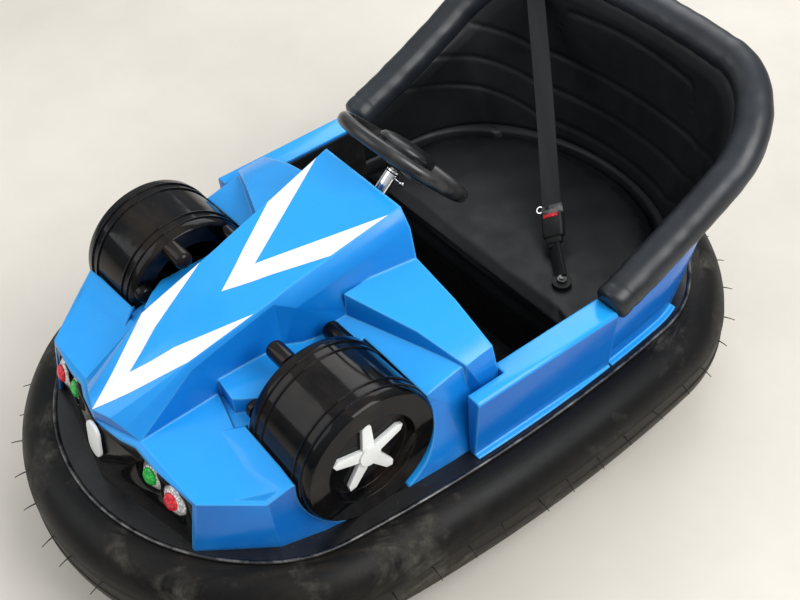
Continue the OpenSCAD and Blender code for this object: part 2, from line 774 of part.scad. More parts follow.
// Pegs on a drum's inner end: angle round the drum and reach. The long ones end at peg_gap from the hood.
peg_gap = 20;
peg_reach = drum_in_x - cowl_k * HOOD[3][6] - peg_gap;
PEGS = [[106, peg_reach], [45, peg_reach], [156, 24]];

peg_dome = 14;

module drum_pegs() {
    color("#0d0d0e") both_sides() for (p = PEGS) translate([drum_in_x - seat_gap, drum_y, drum_z])
        rotate([p[0], 0, 0]) translate([0, drum_r - peg_r, 0]) rotate([0, -90, 0])
            rotate_extrude($fn = 32) polygon(concat([[0, 0], [peg_r, 0]],
                [for (a = [0:18:72]) [peg_r * cos(a), p[1] - peg_dome + peg_dome * sin(a)]], [[0, p[1]]]));
}

// Belt

BUCKLE = [122, 402, 383];
BELT_TOP = [169 - roll_x, roll_back_y - 68, 652];
BELT_FOOT = [236, 322, 357];
belt_w = 47;
belt_t = 3;
BUCKLE_SIZE = [56, 22];
STALK_SIZE = [30, 8];
stalk_gap = 10.6;

module strap_between(a, b, w, t) {
    d = unit(b - a);
    side = unit(cross(d, [0.4, -0.9, 0.3]));
    up = cross(side, d);
    solid_of([for (p = [a, b]) for (s = [-1, 1]) for (u = [-1, 1]) p + s * w / 2 * side + u * t / 2 * up]);
}

belt_run = BELT_TOP - BUCKLE;
buckle_low = BUCKLE - 0.06 * belt_run;

// Point below the buckle's lower end, along the strap.
function below_buckle(gap) = buckle_low - gap * unit(belt_run);

module belt_strap() {
    color("#1b1b1c") strap_between(BUCKLE + 0.08 * belt_run, BELT_TOP, belt_w, belt_t);
}

module belt_buckle() {
    color("#101011") strap_between(buckle_low, BUCKLE + 0.079 * belt_run, BUCKLE_SIZE.x, BUCKLE_SIZE.y);
}

module belt_anchor() {
    color("#26282a") {
        translate([BELT_FOOT.x, BELT_FOOT.y, cushion_z + seat_gap]) cylinder(r = 22, h = 10);
        translate([BELT_FOOT.x - 8, BELT_FOOT.y - 8, cushion_z + 2]) cube([16, 16, 16]);
        strap_between(BELT_FOOT, below_buckle(stalk_gap), STALK_SIZE.x, STALK_SIZE.y);
        strap_between(below_buckle(stalk_gap + 3), below_buckle(seat_gap), STALK_SIZE.x, STALK_SIZE.y);
    }
}

// Steering

module at_column() {
    translate([0, wheel_y, wheel_z]) rotate([column_tilt - 90, 0, 0]) children();
}

jacket_top = -34;
jacket_l = 234;
shaft_low = -392;
bearing_at = -380;
pin_r = 3;
pin_reach = 20;
hub_r = 34;
hub_low = -28;
hub_h = 18;

module column_jacket() {
    color("#d9dcde") at_column() {
        difference() {
            translate([0, 0, jacket_top - jacket_l]) cylinder(r = column_r, h = jacket_l);
            translate([0, 0, jacket_top - jacket_l - 1]) cylinder(r = shaft_r + run_gap, h = jacket_l + 2);
        }
        translate([column_r - 2, 0, jacket_top - 12]) rotate([0, 90, 0]) {
            cylinder(r = pin_r, h = pin_reach);
            translate([0, 0, pin_reach + pin_r]) sphere(2 * pin_r);
        }
    }
}

module steering_shaft() {
    color("#8c9094") at_column() {
        translate([0, 0, shaft_low]) cylinder(r = shaft_r, h = -shaft_low - 20);
    }
}

SPOKE = [28, 8];

module steering_wheel() {
    rim = wheel_r - wheel_tube_r;
    color("#0f0f10") at_column() {
        rotate_extrude($fn = 96) translate([rim, 0]) circle(wheel_tube_r, $fn = 32);
        difference() {
            union() {
                for (a = [-30, 90, 210]) rotate([0, 0, a]) translate([0, -SPOKE.x / 2, -20])
                    cube([rim - 4, SPOKE.x, SPOKE.y]);
                translate([0, 0, hub_low]) cylinder(r = hub_r, h = hub_h);
            }
            translate([0, 0, -40]) cylinder(r = shaft_r, h = 22);
        }
    }
}

// Padded boss over the hub: radius and height of each point of its outline.
PAD = [[0, 0], [50, 0], [62, 9], [66, 22], [66, 30], [60, 37], [46, 41], [0, 43]];

module wheel_pad() {
    color("#161617") at_column() translate([0, 0, hub_low + hub_h + seat_gap]) rotate_extrude() polygon(PAD);
}

module dash_panel() {
    color("#101011") difference() {
        translate([0, cockpit_front - shell_t - seat_gap, 0]) rotate([90, 0, 0]) linear_extrude(panel_t)
            polygon(wide([[-150, 540], [150, 540], [141, 640], [117, 664], [-117, 664], [-141, 640]]));
        at_column() translate([0, 0, -300]) cylinder(r = column_r + seat_gap, h = 300);
    }
}

// Stand that carries the shaft's lower bearing on the floor sheet: a foot plate, a post and the bearing.
STAND_FOOT = [90, 70, 6];
STAND_POST = [40, 16];
bearing_r = 24;
bearing_h = 18;

module column_stand() {
    y = wheel_y + bearing_at * cos(column_tilt);
    z = wheel_z + bearing_at * sin(column_tilt);
    color("#2c2f32") difference() {
        union() {
            translate([-STAND_FOOT.x / 2, y - 12, floor_z + seat_gap]) cube(STAND_FOOT);
            translate([-STAND_POST.x / 2, y - STAND_POST.y / 2, floor_z + 2])
                cube([STAND_POST.x, STAND_POST.y, z - floor_z]);
            at_column() translate([0, 0, bearing_at - bearing_h / 2]) cylinder(r = bearing_r, h = bearing_h);
        }
        at_column() translate([0, 0, bearing_at - 60]) cylinder(r = shaft_r + run_gap, h = 120);
    }
}

// Pedal

// A plate on a pin between the ears of its bracket.
PEDAL_AT = [90, -150];
PEDAL_PLATE = [40, 110, 6];
pedal_slope = 50;
ear_t = 8;
ear_gap = 44;
ear_h = 30;
pedal_pin_z = 20;

module pedal() {
    color("#3a3c3e") translate([PEDAL_AT.x, PEDAL_AT.y, floor_z + seat_gap]) {
        difference() {
            translate([-ear_gap / 2 - ear_t, -ear_h / 2, 0]) cube([ear_gap + 2 * ear_t, ear_h, ear_h]);
            translate([-ear_gap / 2, -ear_h / 2 - 1, 6]) cube([ear_gap, ear_h + 2, ear_h]);
        }
        translate([0, 0, pedal_pin_z]) {
            rotate([0, 90, 0]) cylinder(r = 6, h = ear_gap + 4, center = true);
            rotate([pedal_slope, 0, 0]) translate([-PEDAL_PLATE.x / 2, 0, -PEDAL_PLATE.z / 2]) cube(PEDAL_PLATE);
        }
    }
}

// Drive unit

bridge_z = 268;
bridge_t = 8;
bridge_d = 120;
bridge_set = 19;
spindle_r = 16;
spindle_boss_r = 44;
spindle_boss_h = 36;
fork_gap = 34;
fork_t = 10;
fork_w = 60;
crown_r = 78;
crown_t = 12;
drive_axle_r = 12;
motor_l = 96;
motor_cap_l = 14;

// Portal that carries the drive unit. It stands on the floor sheet beside the rails.
module drive_bridge() {
    leg_x = rail_x - bridge_set;
    leg_h = bridge_z - floor_z - seat_gap + bridge_t / 2;
    color("#303336") difference() {
        union() {
            translate([-leg_x - bridge_t / 2, drive_y - bridge_d / 2, bridge_z])
                cube([2 * leg_x + bridge_t, bridge_d, bridge_t]);
            translate([0, drive_y, bridge_z]) cylinder(r = spindle_boss_r, h = spindle_boss_h);
            both_sides() translate([leg_x - bridge_t / 2, drive_y - bridge_d / 2, floor_z + seat_gap])
                cube([bridge_t, bridge_d, leg_h]);
        }
        translate([0, drive_y, bridge_z - 1]) cylinder(r = spindle_r + run_gap, h = spindle_boss_h + 2);
    }
}

module drive_fork() {
    cheek_low = drive_r - fork_w / 2;
    color("#4a4e52") translate([0, drive_y, 0]) {
        translate([0, 0, bridge_z - 8]) cylinder(r = spindle_r, h = spindle_boss_h + 14);
        difference() {
            union() {
                translate([0, 0, bridge_z - 0.5 - crown_t]) cylinder(r = crown_r, h = crown_t);
                both_sides() translate([fork_gap, -fork_w / 2, cheek_low])
                    cube([fork_t, fork_w, bridge_z - crown_t / 2 - cheek_low]);
            }
            translate([-crown_r, 0, drive_r]) rotate([0, 90, 0])
                cylinder(r = drive_axle_r + run_gap, h = 2 * crown_r);
        }
    }
}

module drive_motor() {
    color("#5b6064") translate([fork_gap + fork_t + seat_gap, drive_y, drive_r]) rotate([0, 90, 0]) difference() {
        union() {
            cylinder(r = motor_r, h = motor_l);
            translate([0, 0, motor_l]) cylinder(r = motor_r - 14, h = motor_cap_l);
        }
        translate([0, 0, -1]) cylinder(r = drive_axle_r + 2, h = 30);
    }
}

module drive_tyre() {
    color("#1c1c1c") translate([0, drive_y, drive_r]) rotate([0, 90, 0]) {
        translate([0, 0, -drive_w / 2]) tyre_body(drive_r, drive_w);
        translate([0, 0, -fork_gap - fork_t - 4]) cylinder(r = drive_axle_r, h = 2 * (fork_gap + fork_t + 8) - 4);
    }
}

module tyre_body(r, w) {
    rotate_extrude($fn = 96) polygon([[0, 4], [r - 14, 0], [r - 5, 2], [r, 9], [r, w - 9], [r - 5, w - 2],
        [r - 14, w], [0, w - 4]]);
}

// Rear wheels

module rear_axle() {
    color("#34373a") {
        translate([-rear_x - 44, rear_y, rear_r]) rotate([0, 90, 0]) cylinder(r = axle_r, h = 2 * rear_x + 88);
        both_sides() for (x = [rear_x - rear_w / 2 - 6.5, rear_x + rear_w / 2 + 0.5])
            translate([x, rear_y, rear_r]) rotate([0, 90, 0]) cylinder(r = 18, h = 6);
        both_sides() difference() {
            translate([rail_x + rail_w / 2 - 8, rear_y - 26, rear_r - 22])
                cube([8, 52, rail_bottom - rear_r + 22]);
            translate([rail_x - 20, rear_y, rear_r]) rotate([0, 90, 0]) cylinder(r = axle_r - 0.01, h = 60);
        }
    }
}

module rear_tyre() {
    translate([rear_x - rear_w / 2, rear_y, rear_r]) rotate([0, 90, 0]) rotate_extrude($fn = 96)
        polygon([[rear_r - 25.9, 0], [rear_r - 5, 2], [rear_r, 8],
            [rear_r, rear_w - 8], [rear_r - 5, rear_w - 2], [rear_r - 25.9, rear_w]]);
}

module rear_hub() {
    translate([rear_x - rear_w / 2, rear_y, rear_r]) rotate([0, 90, 0]) difference() {
        cylinder(r = rear_r - 26, h = rear_w, $fn = 96);
        translate([0, 0, -1]) cylinder(r = axle_r + run_gap, h = rear_w + 2);
        for (k = [0:4]) rotate([0, 0, 72 * k]) translate([40, 0, -1]) cylinder(r = 9, h = rear_w + 2);
    }
}

module rear_tyre_left() {
    color("#1c1c1c") rear_tyre();
}

module rear_tyre_right() {
    color("#1c1c1c") mirror([1, 0, 0]) rear_tyre();
}

module rear_hub_left() {
    color("#9aa0a4") rear_hub();
}

module rear_hub_right() {
    color("#9aa0a4") mirror([1, 0, 0]) rear_hub();
}

chassis_frame();
floor_pan();
bumper_rim();
bumper_ring();
front_cowl();
sill_left();
sill_right();
rear_shell();
fascia();
lamp_red_left();
lamp_red_right();
lamp_green_left();
lamp_green_right();
lamp_bezels();
nose_badge();
drum_left();
drum_right();
hub_trim_left();
hub_trim_right();
drum_pegs();
seat_base();
seat_cushion();
seat_back();
rim_roll();
belt_strap();
belt_buckle();
belt_anchor();
footwell_panels();
dash_panel();
column_stand();
column_jacket();
steering_shaft();
steering_wheel();
wheel_pad();
pedal();
drive_bridge();
drive_fork();
drive_motor();
drive_tyre();
rear_axle();
rear_tyre_left();
rear_tyre_right();
rear_hub_left();
rear_hub_right();
battery_block();
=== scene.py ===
"""Looks of a battery bumper car: finishes, soft goods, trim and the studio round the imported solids.

The nose points along -Y, +X is the car's left side, +Z is up, and every length is in metres.
"""

from __future__ import annotations

import json
import logging
import math
import random
from dataclasses import dataclass, field
from enum import Enum
from typing import Callable, Sequence

import bmesh
import bpy
from bpy.types import Material, NodeSocket, Object
from mathutils import Matrix, Vector
from mathutils.bvhtree import BVHTree

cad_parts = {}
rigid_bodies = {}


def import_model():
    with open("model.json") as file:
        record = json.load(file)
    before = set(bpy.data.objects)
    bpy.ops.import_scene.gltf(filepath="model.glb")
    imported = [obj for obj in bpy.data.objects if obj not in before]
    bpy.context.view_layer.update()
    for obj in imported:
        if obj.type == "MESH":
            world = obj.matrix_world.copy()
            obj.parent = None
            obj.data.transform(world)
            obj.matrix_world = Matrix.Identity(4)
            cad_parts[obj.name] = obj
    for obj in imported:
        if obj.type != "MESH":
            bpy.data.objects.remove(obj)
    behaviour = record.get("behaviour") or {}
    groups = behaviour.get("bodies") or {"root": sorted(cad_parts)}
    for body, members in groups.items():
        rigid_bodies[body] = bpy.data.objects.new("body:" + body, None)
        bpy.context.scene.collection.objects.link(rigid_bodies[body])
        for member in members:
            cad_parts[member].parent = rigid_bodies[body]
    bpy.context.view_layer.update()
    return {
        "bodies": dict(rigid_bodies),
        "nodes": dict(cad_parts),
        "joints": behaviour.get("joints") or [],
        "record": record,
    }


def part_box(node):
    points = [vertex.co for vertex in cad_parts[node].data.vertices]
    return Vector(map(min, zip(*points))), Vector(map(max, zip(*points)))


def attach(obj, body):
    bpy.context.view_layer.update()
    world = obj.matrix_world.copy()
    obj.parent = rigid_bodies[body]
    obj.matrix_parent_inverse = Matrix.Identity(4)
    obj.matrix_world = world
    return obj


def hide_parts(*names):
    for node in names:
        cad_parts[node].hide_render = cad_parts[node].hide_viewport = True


LOG = logging.getLogger("bumper_car")
UP = Vector((0.0, 0.0, 1.0))
SHARP = math.radians(24)
SIDES = ((1, "left"), (-1, "right"))


class Flow(Enum):
    """Where a pattern takes its coordinates from."""

    OBJECT = "object"
    STREAK = "streak"
    UV = "uv"


@dataclass
class Graph:
    """Nodes of one material, with the shader already joined to the output."""

    name: str
    material: Material = field(init=False)

    def __post_init__(self) -> None:
        """Makes the material with a shader and an output."""
        self.material = bpy.data.materials.new(self.name)
        self.material.use_nodes = True
        self.tree = self.material.node_tree
        self.tree.nodes.clear()
        output = self.tree.nodes.new("ShaderNodeOutputMaterial")
        self.shader = self.tree.nodes.new("ShaderNodeBsdfPrincipled")
        self.tree.links.new(self.shader.outputs[0], output.inputs[0])

    def feed(self, socket: NodeSocket, value: object) -> None:
        """Puts a constant on a socket or joins another socket to it.

        Args:
            socket: The input that is fed.
            value: A number, a colour, a vector or an output socket.
        """
        if isinstance(value, NodeSocket):
            self.tree.links.new(value, socket)
        elif isinstance(value, (tuple, list)) and len(value) == 3 and socket.type == "RGBA":
            socket.default_value = (*value, 1.0)
        else:
            socket.default_value = value

    def coordinates(self, flow: Flow) -> NodeSocket:
        """Returns the vector that a pattern follows.

        Args:
            flow: The kind of coordinates.

        Returns:
            The output that carries them.
        """
        if flow is Flow.STREAK:
            node = self.tree.nodes.new("ShaderNodeAttribute")
            node.attribute_name = "streak"
            return node.outputs["Vector"]
        node = self.tree.nodes.new("ShaderNodeTexCoord")
        return node.outputs["UV" if flow is Flow.UV else "Object"]

    def noise(self, scale: float, detail: float = 4.0, rough: float = 0.55, flow: Flow = Flow.OBJECT,
              squeeze: tuple[float, float, float] | None = None) -> NodeSocket:
        """Adds a noise pattern.

        Args:
            scale: Its scale, per metre on object coordinates.
            detail: Its number of octaves.
            rough: How strong its finer octaves are.
            flow: What it follows.
            squeeze: Scale along each axis, for a pattern that is drawn out.

        Returns:
            Its value.
        """
        node = self.tree.nodes.new("ShaderNodeTexNoise")
        node.inputs["Scale"].default_value = scale
        node.inputs["Detail"].default_value = detail
        node.inputs["Roughness"].default_value = rough
        vector = self.coordinates(flow)
        if squeeze:
            mapping = self.tree.nodes.new("ShaderNodeMapping")
            mapping.inputs["Scale"].default_value = squeeze
            self.feed(mapping.inputs["Vector"], vector)
            vector = mapping.outputs[0]
        self.feed(node.inputs["Vector"], vector)
        return node.outputs[0]

    def cells(self, scale: float, feature: str = "F1", flow: Flow = Flow.OBJECT) -> NodeSocket:
        """Adds a cell pattern and returns its distance."""
        node = self.tree.nodes.new("ShaderNodeTexVoronoi")
        node.feature = feature
        node.inputs["Scale"].default_value = scale
        self.feed(node.inputs["Vector"], self.coordinates(flow))
        return node.outputs["Distance"]

    def axis(self, index: int, flow: Flow = Flow.OBJECT) -> NodeSocket:
        """Returns one component of the coordinates."""
        node = self.tree.nodes.new("ShaderNodeSeparateXYZ")
        self.feed(node.inputs[0], self.coordinates(flow))
        return node.outputs[index]

    def span(self, value: NodeSocket, low: float, high: float, to_low: float = 0.0,
             to_high: float = 1.0) -> NodeSocket:
        """Maps a value from one range to another, held at its ends.

        Args:
            value: The value that is mapped.
            low: Start of its range.
            high: End of its range.
            to_low: Result at the start.
            to_high: Result at the end.

        Returns:
            The mapped value.
        """
        node = self.tree.nodes.new("ShaderNodeMapRange")
        self.feed(node.inputs["Value"], value)
        for name, number in (("From Min", low), ("From Max", high), ("To Min", to_low), ("To Max", to_high)):
            node.inputs[name].default_value = number
        return node.outputs[0]

    def calc(self, operation: str, a: object, b: object = 0.0) -> NodeSocket:
        """Joins two values by a sum, product or the like and returns the result."""
        node = self.tree.nodes.new("ShaderNodeMath")
        node.operation = operation
        self.feed(node.inputs[0], a)
        self.feed(node.inputs[1], b)
        return node.outputs[0]

    def blend(self, share: object, a: object, b: object) -> NodeSocket:
        """Mixes two colours.

        Args:
            share: How much of the second colour shows.
            a: First colour.
            b: Second colour.

        Returns:
            The mixed colour.
        """
        node = self.tree.nodes.new("ShaderNodeMix")
        node.data_type = "RGBA"
        self.feed(node.inputs["Factor"], share)
        self.feed(node.inputs["A"], a)
        self.feed(node.inputs["B"], b)
        return node.outputs["Result"]

    def facing_up(self) -> NodeSocket:
        """Returns how far the surface faces upwards, from -1 to 1."""
        texture = self.tree.nodes.new("ShaderNodeTexCoord")
        node = self.tree.nodes.new("ShaderNodeSeparateXYZ")
        self.feed(node.inputs[0], texture.outputs["Normal"])
        return node.outputs[2]

    def relief(self, height: NodeSocket, strength: float, depth: float,
               below: NodeSocket | None = None) -> NodeSocket:
        """Adds a bump.

        Args:
            height: The height pattern.
            strength: How strongly it shows.
            depth: Depth of the relief in metres.
            below: Normal of what it lies on.

        Returns:
            The normal.
        """
        node = self.tree.nodes.new("ShaderNodeBump")
        node.inputs["Strength"].default_value = strength
        node.inputs["Distance"].default_value = depth
        self.feed(node.inputs["Height"], height)
        if below:
            self.feed(node.inputs["Normal"], below)
        return node.outputs[0]

    def eased_edges(self, radius: float) -> NodeSocket:
        """Returns a normal that rounds hard edges by a radius."""
        node = self.tree.nodes.new("ShaderNodeBevel")
        node.samples = 6
        node.inputs["Radius"].default_value = radius
        return node.outputs[0]

    def near_edge(self, softened: NodeSocket) -> NodeSocket:
        """Returns how near a hard edge a point lies, from 0 away from it to 1.

        Args:
            softened: The normal that rounds the edges.

        Returns:
            The nearness.
        """
        geometry = self.tree.nodes.new("ShaderNodeNewGeometry")
        node = self.tree.nodes.new("ShaderNodeVectorMath")
        node.operation = "DOT_PRODUCT"
        self.feed(node.inputs[0], softened)
        self.feed(node.inputs[1], geometry.outputs["Normal"])
        return self.span(node.outputs["Value"], 0.995, 0.93)

    def surface(self, **values: object) -> Material:
        """Feeds the shader's sockets, named with underscores for spaces, and returns the material."""
        for name, value in values.items():
            self.feed(self.shader.inputs[name.replace("_", " ")], value)
        return self.material


@dataclass(frozen=True)
class PaintedMoulding:
    """Glossy pigmented laminate with painted light: paler where it faces the sky, painted shade where it turns
    away, and painted highlights along its hard edges, with faint ripple, scuffs and dust.
    """

    # The first two colours are the blue in painted shade and in painted light, blended by how far the surface
    # faces upwards.
    painted_shade: tuple[float, float, float] = (0.0015, 0.118, 0.470)
    painted_light: tuple[float, float, float] = (0.014, 0.330, 0.830)
    dust: tuple[float, float, float] = (0.10, 0.44, 0.78)
    # This colour paints pale highlights along the hard edges, where the gloss would catch the light.
    rubbed_and_highlit: tuple[float, float, float] = (0.13, 0.56, 0.90)
    edge: float = 0.007
    speck_amount: float = 0.22
    patch_amount: float = 0.12
    edge_highlight_amount: float = 0.42
    splash_from: float = 0.335
    splash_to: float = 0.29

    def build(self, name: str) -> Material:
        """Builds the material."""
        g = Graph(name)
        # Painted light and shade: the blue runs from the painted shade colour to the paler painted light
        # colour as the surface turns to face the sky, a little unevenly.
        uneven = g.span(g.noise(2.3, 3.0), 0.3, 0.7, 1.0, 0.84)
        painted_light_share = g.calc("MULTIPLY", g.span(g.facing_up(), -0.05, 0.92), uneven)
        tone = g.blend(painted_light_share, self.painted_shade, self.painted_light)
        specks = g.calc("MULTIPLY", g.span(g.noise(90.0, 5.0, 0.7), 0.62, 0.74), self.speck_amount)
        patches = g.calc("MULTIPLY", g.span(g.noise(7.0, 6.0, 0.65), 0.48, 0.75), self.patch_amount)
        dusty = g.calc("MULTIPLY", g.calc("MAXIMUM", specks, patches),
                       g.span(g.facing_up(), -0.1, 0.9, 0.1, 1.0))
        low = g.calc("MULTIPLY", g.span(g.axis(2), self.splash_from, self.splash_to),
                     g.span(g.noise(26.0, 6.0), 0.42, 0.66, 0.0, 0.14))
        colour = g.blend(g.calc("MAXIMUM", dusty, low), tone, self.dust)
        softened = g.eased_edges(self.edge)
        # Painted highlight: the pale blue is laid along the hard edges.
        colour = g.blend(g.calc("MULTIPLY", g.near_edge(softened), self.edge_highlight_amount), colour, self.rubbed_and_highlit)
        scratch = g.span(g.noise(34.0, 8.0, 0.7, squeeze=(1.0, 0.4, 1.0)), 0.35, 0.75, 0.13, 0.27)
        ripple = g.relief(g.noise(9.0, 2.0), 0.20, 0.0025, softened)
        skin = g.relief(g.noise(420.0, 2.0), 0.06, 0.0004, ripple)
        return g.surface(Base_Color=colour, Roughness=scratch, Normal=skin, Specular_IOR_Level=0.36)


@dataclass(frozen=True)
class GlossMoulding:
    """Black gloss moulding with hairline scratches, a brown painted reflection in drawn-out streaks and
    scattered dust specks.
    """

    base: tuple[float, float, float] = (0.0020, 0.0021, 0.0026)
    wear_dust_and_reflection: tuple[float, float, float] = (0.040, 0.028, 0.019)
    edge: float = 0.003

    def build(self, name: str) -> Material:
        """Builds the material."""
        g = Graph(name)
        # Painted reflection: drawn-out streaks of brown stand for the surroundings reflected in the gloss; the
        # specks are dust.
        painted_reflection = g.span(g.noise(7.0, 5.0, 0.6, squeeze=(0.45, 1.0, 1.0)), 0.50, 0.74, 0.0, 0.50)
        specks = g.span(g.noise(160.0, 4.0, 0.7), 0.68, 0.78, 0.0, 0.4)
        colour = g.blend(g.calc("MAXIMUM", painted_reflection, specks), self.base, self.wear_dust_and_reflection)
        rough = g.span(g.noise(13.0, 6.0, 0.65), 0.35, 0.7, 0.05, 0.16)
        wave = g.relief(g.noise(11.0, 2.0), 0.45, 0.002, g.eased_edges(self.edge))
        hair = g.relief(g.noise(60.0, 6.0, 0.7, squeeze=(0.1, 1.0, 1.0)), 0.06, 0.0005, wave)
        return g.surface(Base_Color=colour, Roughness=rough, Normal=hair, Specular_IOR_Level=0.17)


@dataclass(frozen=True)
class SatinPanel:
    """Satin black board or moulded panel with a fine pebble and dust."""

    base: tuple[float, float, float] = (0.0052, 0.0052, 0.0056)
    dust: tuple[float, float, float] = (0.030, 0.027, 0.023)
    pebble: float = 300.0

    def build(self, name: str) -> Material:
        """Builds the material."""
        g = Graph(name)
        colour = g.blend(g.span(g.noise(16.0, 6.0, 0.7), 0.5, 0.78, 0.0, 0.6), self.base, self.dust)
        pebbles = g.relief(g.cells(self.pebble), 0.25, 0.0005, g.eased_edges(0.002))
        rough = g.span(g.noise(30.0), 0.3, 0.7, 0.42, 0.66)
        return g.surface(Base_Color=colour, Roughness=rough, Normal=pebbles, Specular_IOR_Level=0.32)


@dataclass(frozen=True)
class WornPaint:
    """Black paint on steel, rubbed through to metal above a height and along scratches."""

    paint: tuple[float, float, float] = (0.0050, 0.0050, 0.0056)
    metal: tuple[float, float, float] = (0.42, 0.41, 0.39)
    worn_from: float = 0.2895
    worn_to: float = 0.2915
    amount: float = 0.34

    def build(self, name: str) -> Material:
        """Builds the material."""
        g = Graph(name)
        ridge = g.span(g.axis(2), self.worn_from, self.worn_to)
        rubbed_and_highlit = g.calc("MULTIPLY", ridge, g.span(g.noise(21.0, 7.0, 0.7), 0.46, 0.60, 0.0, self.amount))
        nicks = g.span(g.noise(75.0, 8.0, 0.75), 0.665, 0.70, 0.0, 0.7)
        bare = g.calc("MAXIMUM", rubbed_and_highlit, nicks)
        dirt = g.blend(g.span(g.noise(10.0, 7.0, 0.7), 0.5, 0.8, 0.0, 0.5), self.paint, (0.034, 0.029, 0.024))
        rough = g.span(g.noise(24.0, 6.0, 0.7), 0.3, 0.7, 0.24, 0.50)
        return g.surface(Base_Color=g.blend(bare, dirt, self.metal), Metallic=bare, Roughness=rough,
                         Normal=g.relief(g.noise(120.0, 4.0), 0.18, 0.0006, g.eased_edges(0.0012)))


@dataclass(frozen=True)
class TurnedSteel:
    """Plain machined steel with turning marks and grease stains."""

    base: tuple[float, float, float] = (0.46, 0.46, 0.46)

    def build(self, name: str) -> Material:
        """Builds the material."""
        g = Graph(name)
        stain = g.span(g.noise(28.0, 6.0, 0.7), 0.46, 0.72, 0.0, 0.75)
        marks = g.relief(g.noise(210.0, 3.0, squeeze=(1.0, 0.2, 1.0)), 0.15, 0.0003)
        return g.surface(Base_Color=g.blend(stain, self.base, (0.11, 0.095, 0.08)), Metallic=1.0,
                         Roughness=g.span(g.noise(45.0), 0.3, 0.7, 0.26, 0.5), Normal=marks)


@dataclass(frozen=True)
class Plating:
    """Polished plating with pin-prick pitting."""

    base: tuple[float, float, float] = (0.80, 0.81, 0.82)

    def build(self, name: str) -> Material:
        """Builds the material."""
        g = Graph(name)
        pits = g.span(g.noise(230.0, 3.0), 0.64, 0.72, 0.0, 0.7)
        return g.surface(Base_Color=g.blend(pits, self.base, (0.26, 0.24, 0.22)), Metallic=1.0,
                         Roughness=g.span(g.noise(35.0), 0.3, 0.7, 0.06, 0.20),
                         Normal=g.relief(g.noise(30.0), 0.05, 0.001))


@dataclass(frozen=True)
class DustyRubber:
    """Black bumper rubber with brown and grey dust smeared along the ring."""

    base: tuple[float, float, float] = (0.0034, 0.0034, 0.0036)
    brown: tuple[float, float, float] = (0.030, 0.023, 0.016)
    grey: tuple[float, float, float] = (0.105, 0.100, 0.084)

    def build(self, name: str) -> Material:
        """Builds the material."""
        g = Graph(name)
        drawn = g.noise(1.6, 9.0, 0.68, Flow.STREAK)
        clouds = g.noise(5.2, 8.0, 0.62)
        patch = g.calc("MULTIPLY", g.span(clouds, 0.50, 0.58), g.span(drawn, 0.40, 0.58))
        grime = g.span(g.noise(46.0, 8.0, 0.75), 0.30, 0.60, 0.25, 1.0)
        grey = g.calc("MULTIPLY", g.calc("MULTIPLY", patch, grime), 0.62)
        brown = g.calc("MULTIPLY", g.span(g.noise(2.6, 6.0, 0.6), 0.46, 0.66),
                       g.span(drawn, 0.40, 0.68, 0.0, 0.80))
        low = g.calc("MULTIPLY", g.span(g.axis(2), 0.235, 0.15), g.span(drawn, 0.30, 0.62, 0.15, 0.75))
        colour = g.blend(g.calc("MAXIMUM", brown, low), self.base, self.brown)
        colour = g.blend(grey, colour, self.grey)
        rough = g.span(g.calc("ADD", patch, g.calc("MULTIPLY", drawn, 0.5)), 0.1, 0.9, 0.36, 0.85)
        lines = g.relief(g.noise(9.0, 6.0, 0.7, Flow.STREAK), 0.35, 0.0012)
        grain = g.relief(g.noise(260.0, 4.0, 0.65), 0.35, 0.0006, lines)
        return g.surface(Base_Color=colour, Roughness=rough, Normal=grain, Specular_IOR_Level=0.16)


@dataclass(frozen=True)
class TyreRubber:
    """Solid black tyre rubber, scuffed grey where it runs."""

    base: tuple[float, float, float] = (0.017, 0.017, 0.017)
    scuffed: tuple[float, float, float] = (0.085, 0.078, 0.068)

    def build(self, name: str) -> Material:
        """Builds the material."""
        g = Graph(name)
        scuff = g.span(g.noise(38.0, 8.0, 0.7), 0.42, 0.72, 0.0, 0.8)
        grain = g.relief(g.noise(300.0, 4.0), 0.4, 0.0006)
        return g.surface(Base_Color=g.blend(scuff, self.base, self.scuffed), Roughness=0.82, Normal=grain)


@dataclass(frozen=True)
class RoughCasting:
    """Sand-cast metal with a coarse skin, painted or bare."""

    base: tuple[float, float, float] = (0.30, 0.31, 0.32)
    metallic: float = 0.7

    def build(self, name: str) -> Material:
        """Builds the material."""
        g = Graph(name)
        oil = g.span(g.noise(22.0, 6.0, 0.65), 0.45, 0.72, 0.0, 0.7)
        skin = g.relief(g.noise(230.0, 5.0, 0.7), 0.45, 0.0012, g.eased_edges(0.002))
        return g.surface(Base_Color=g.blend(oil, self.base, (0.05, 0.046, 0.04)), Metallic=self.metallic,
                         Roughness=g.span(g.noise(50.0), 0.3, 0.7, 0.45, 0.7), Normal=skin)


@dataclass(frozen=True)
class Vinyl:
    """Upholstery vinyl with a fine leather grain and soft creases."""

    base: tuple[float, float, float] = (0.0042, 0.0048, 0.0052)
    grain: float = 430.0
    rough: float = 0.46
    level: float = 0.26

    def build(self, name: str) -> Material:
        """Builds the material."""
        g = Graph(name)
        faded = tuple(2.0 * c for c in self.base)
        tone = g.blend(g.span(g.noise(6.0, 5.0, 0.6), 0.42, 0.72), self.base, faded)
        lint = g.span(g.noise(130.0, 6.0, 0.75), 0.66, 0.76, 0.0, 0.35)
        colour = g.blend(lint, tone, (0.045, 0.046, 0.045))
        cells = g.relief(g.cells(self.grain, "DISTANCE_TO_EDGE"), 0.30, 0.0004)
        creases = g.relief(g.noise(30.0, 3.0, 0.5), 0.10, 0.0020, cells)
        rough = g.span(g.noise(20.0, 5.0), 0.3, 0.7, self.rough - 0.05, self.rough + 0.10)
        return g.surface(Base_Color=colour, Roughness=rough, Normal=creases, Specular_IOR_Level=self.level)


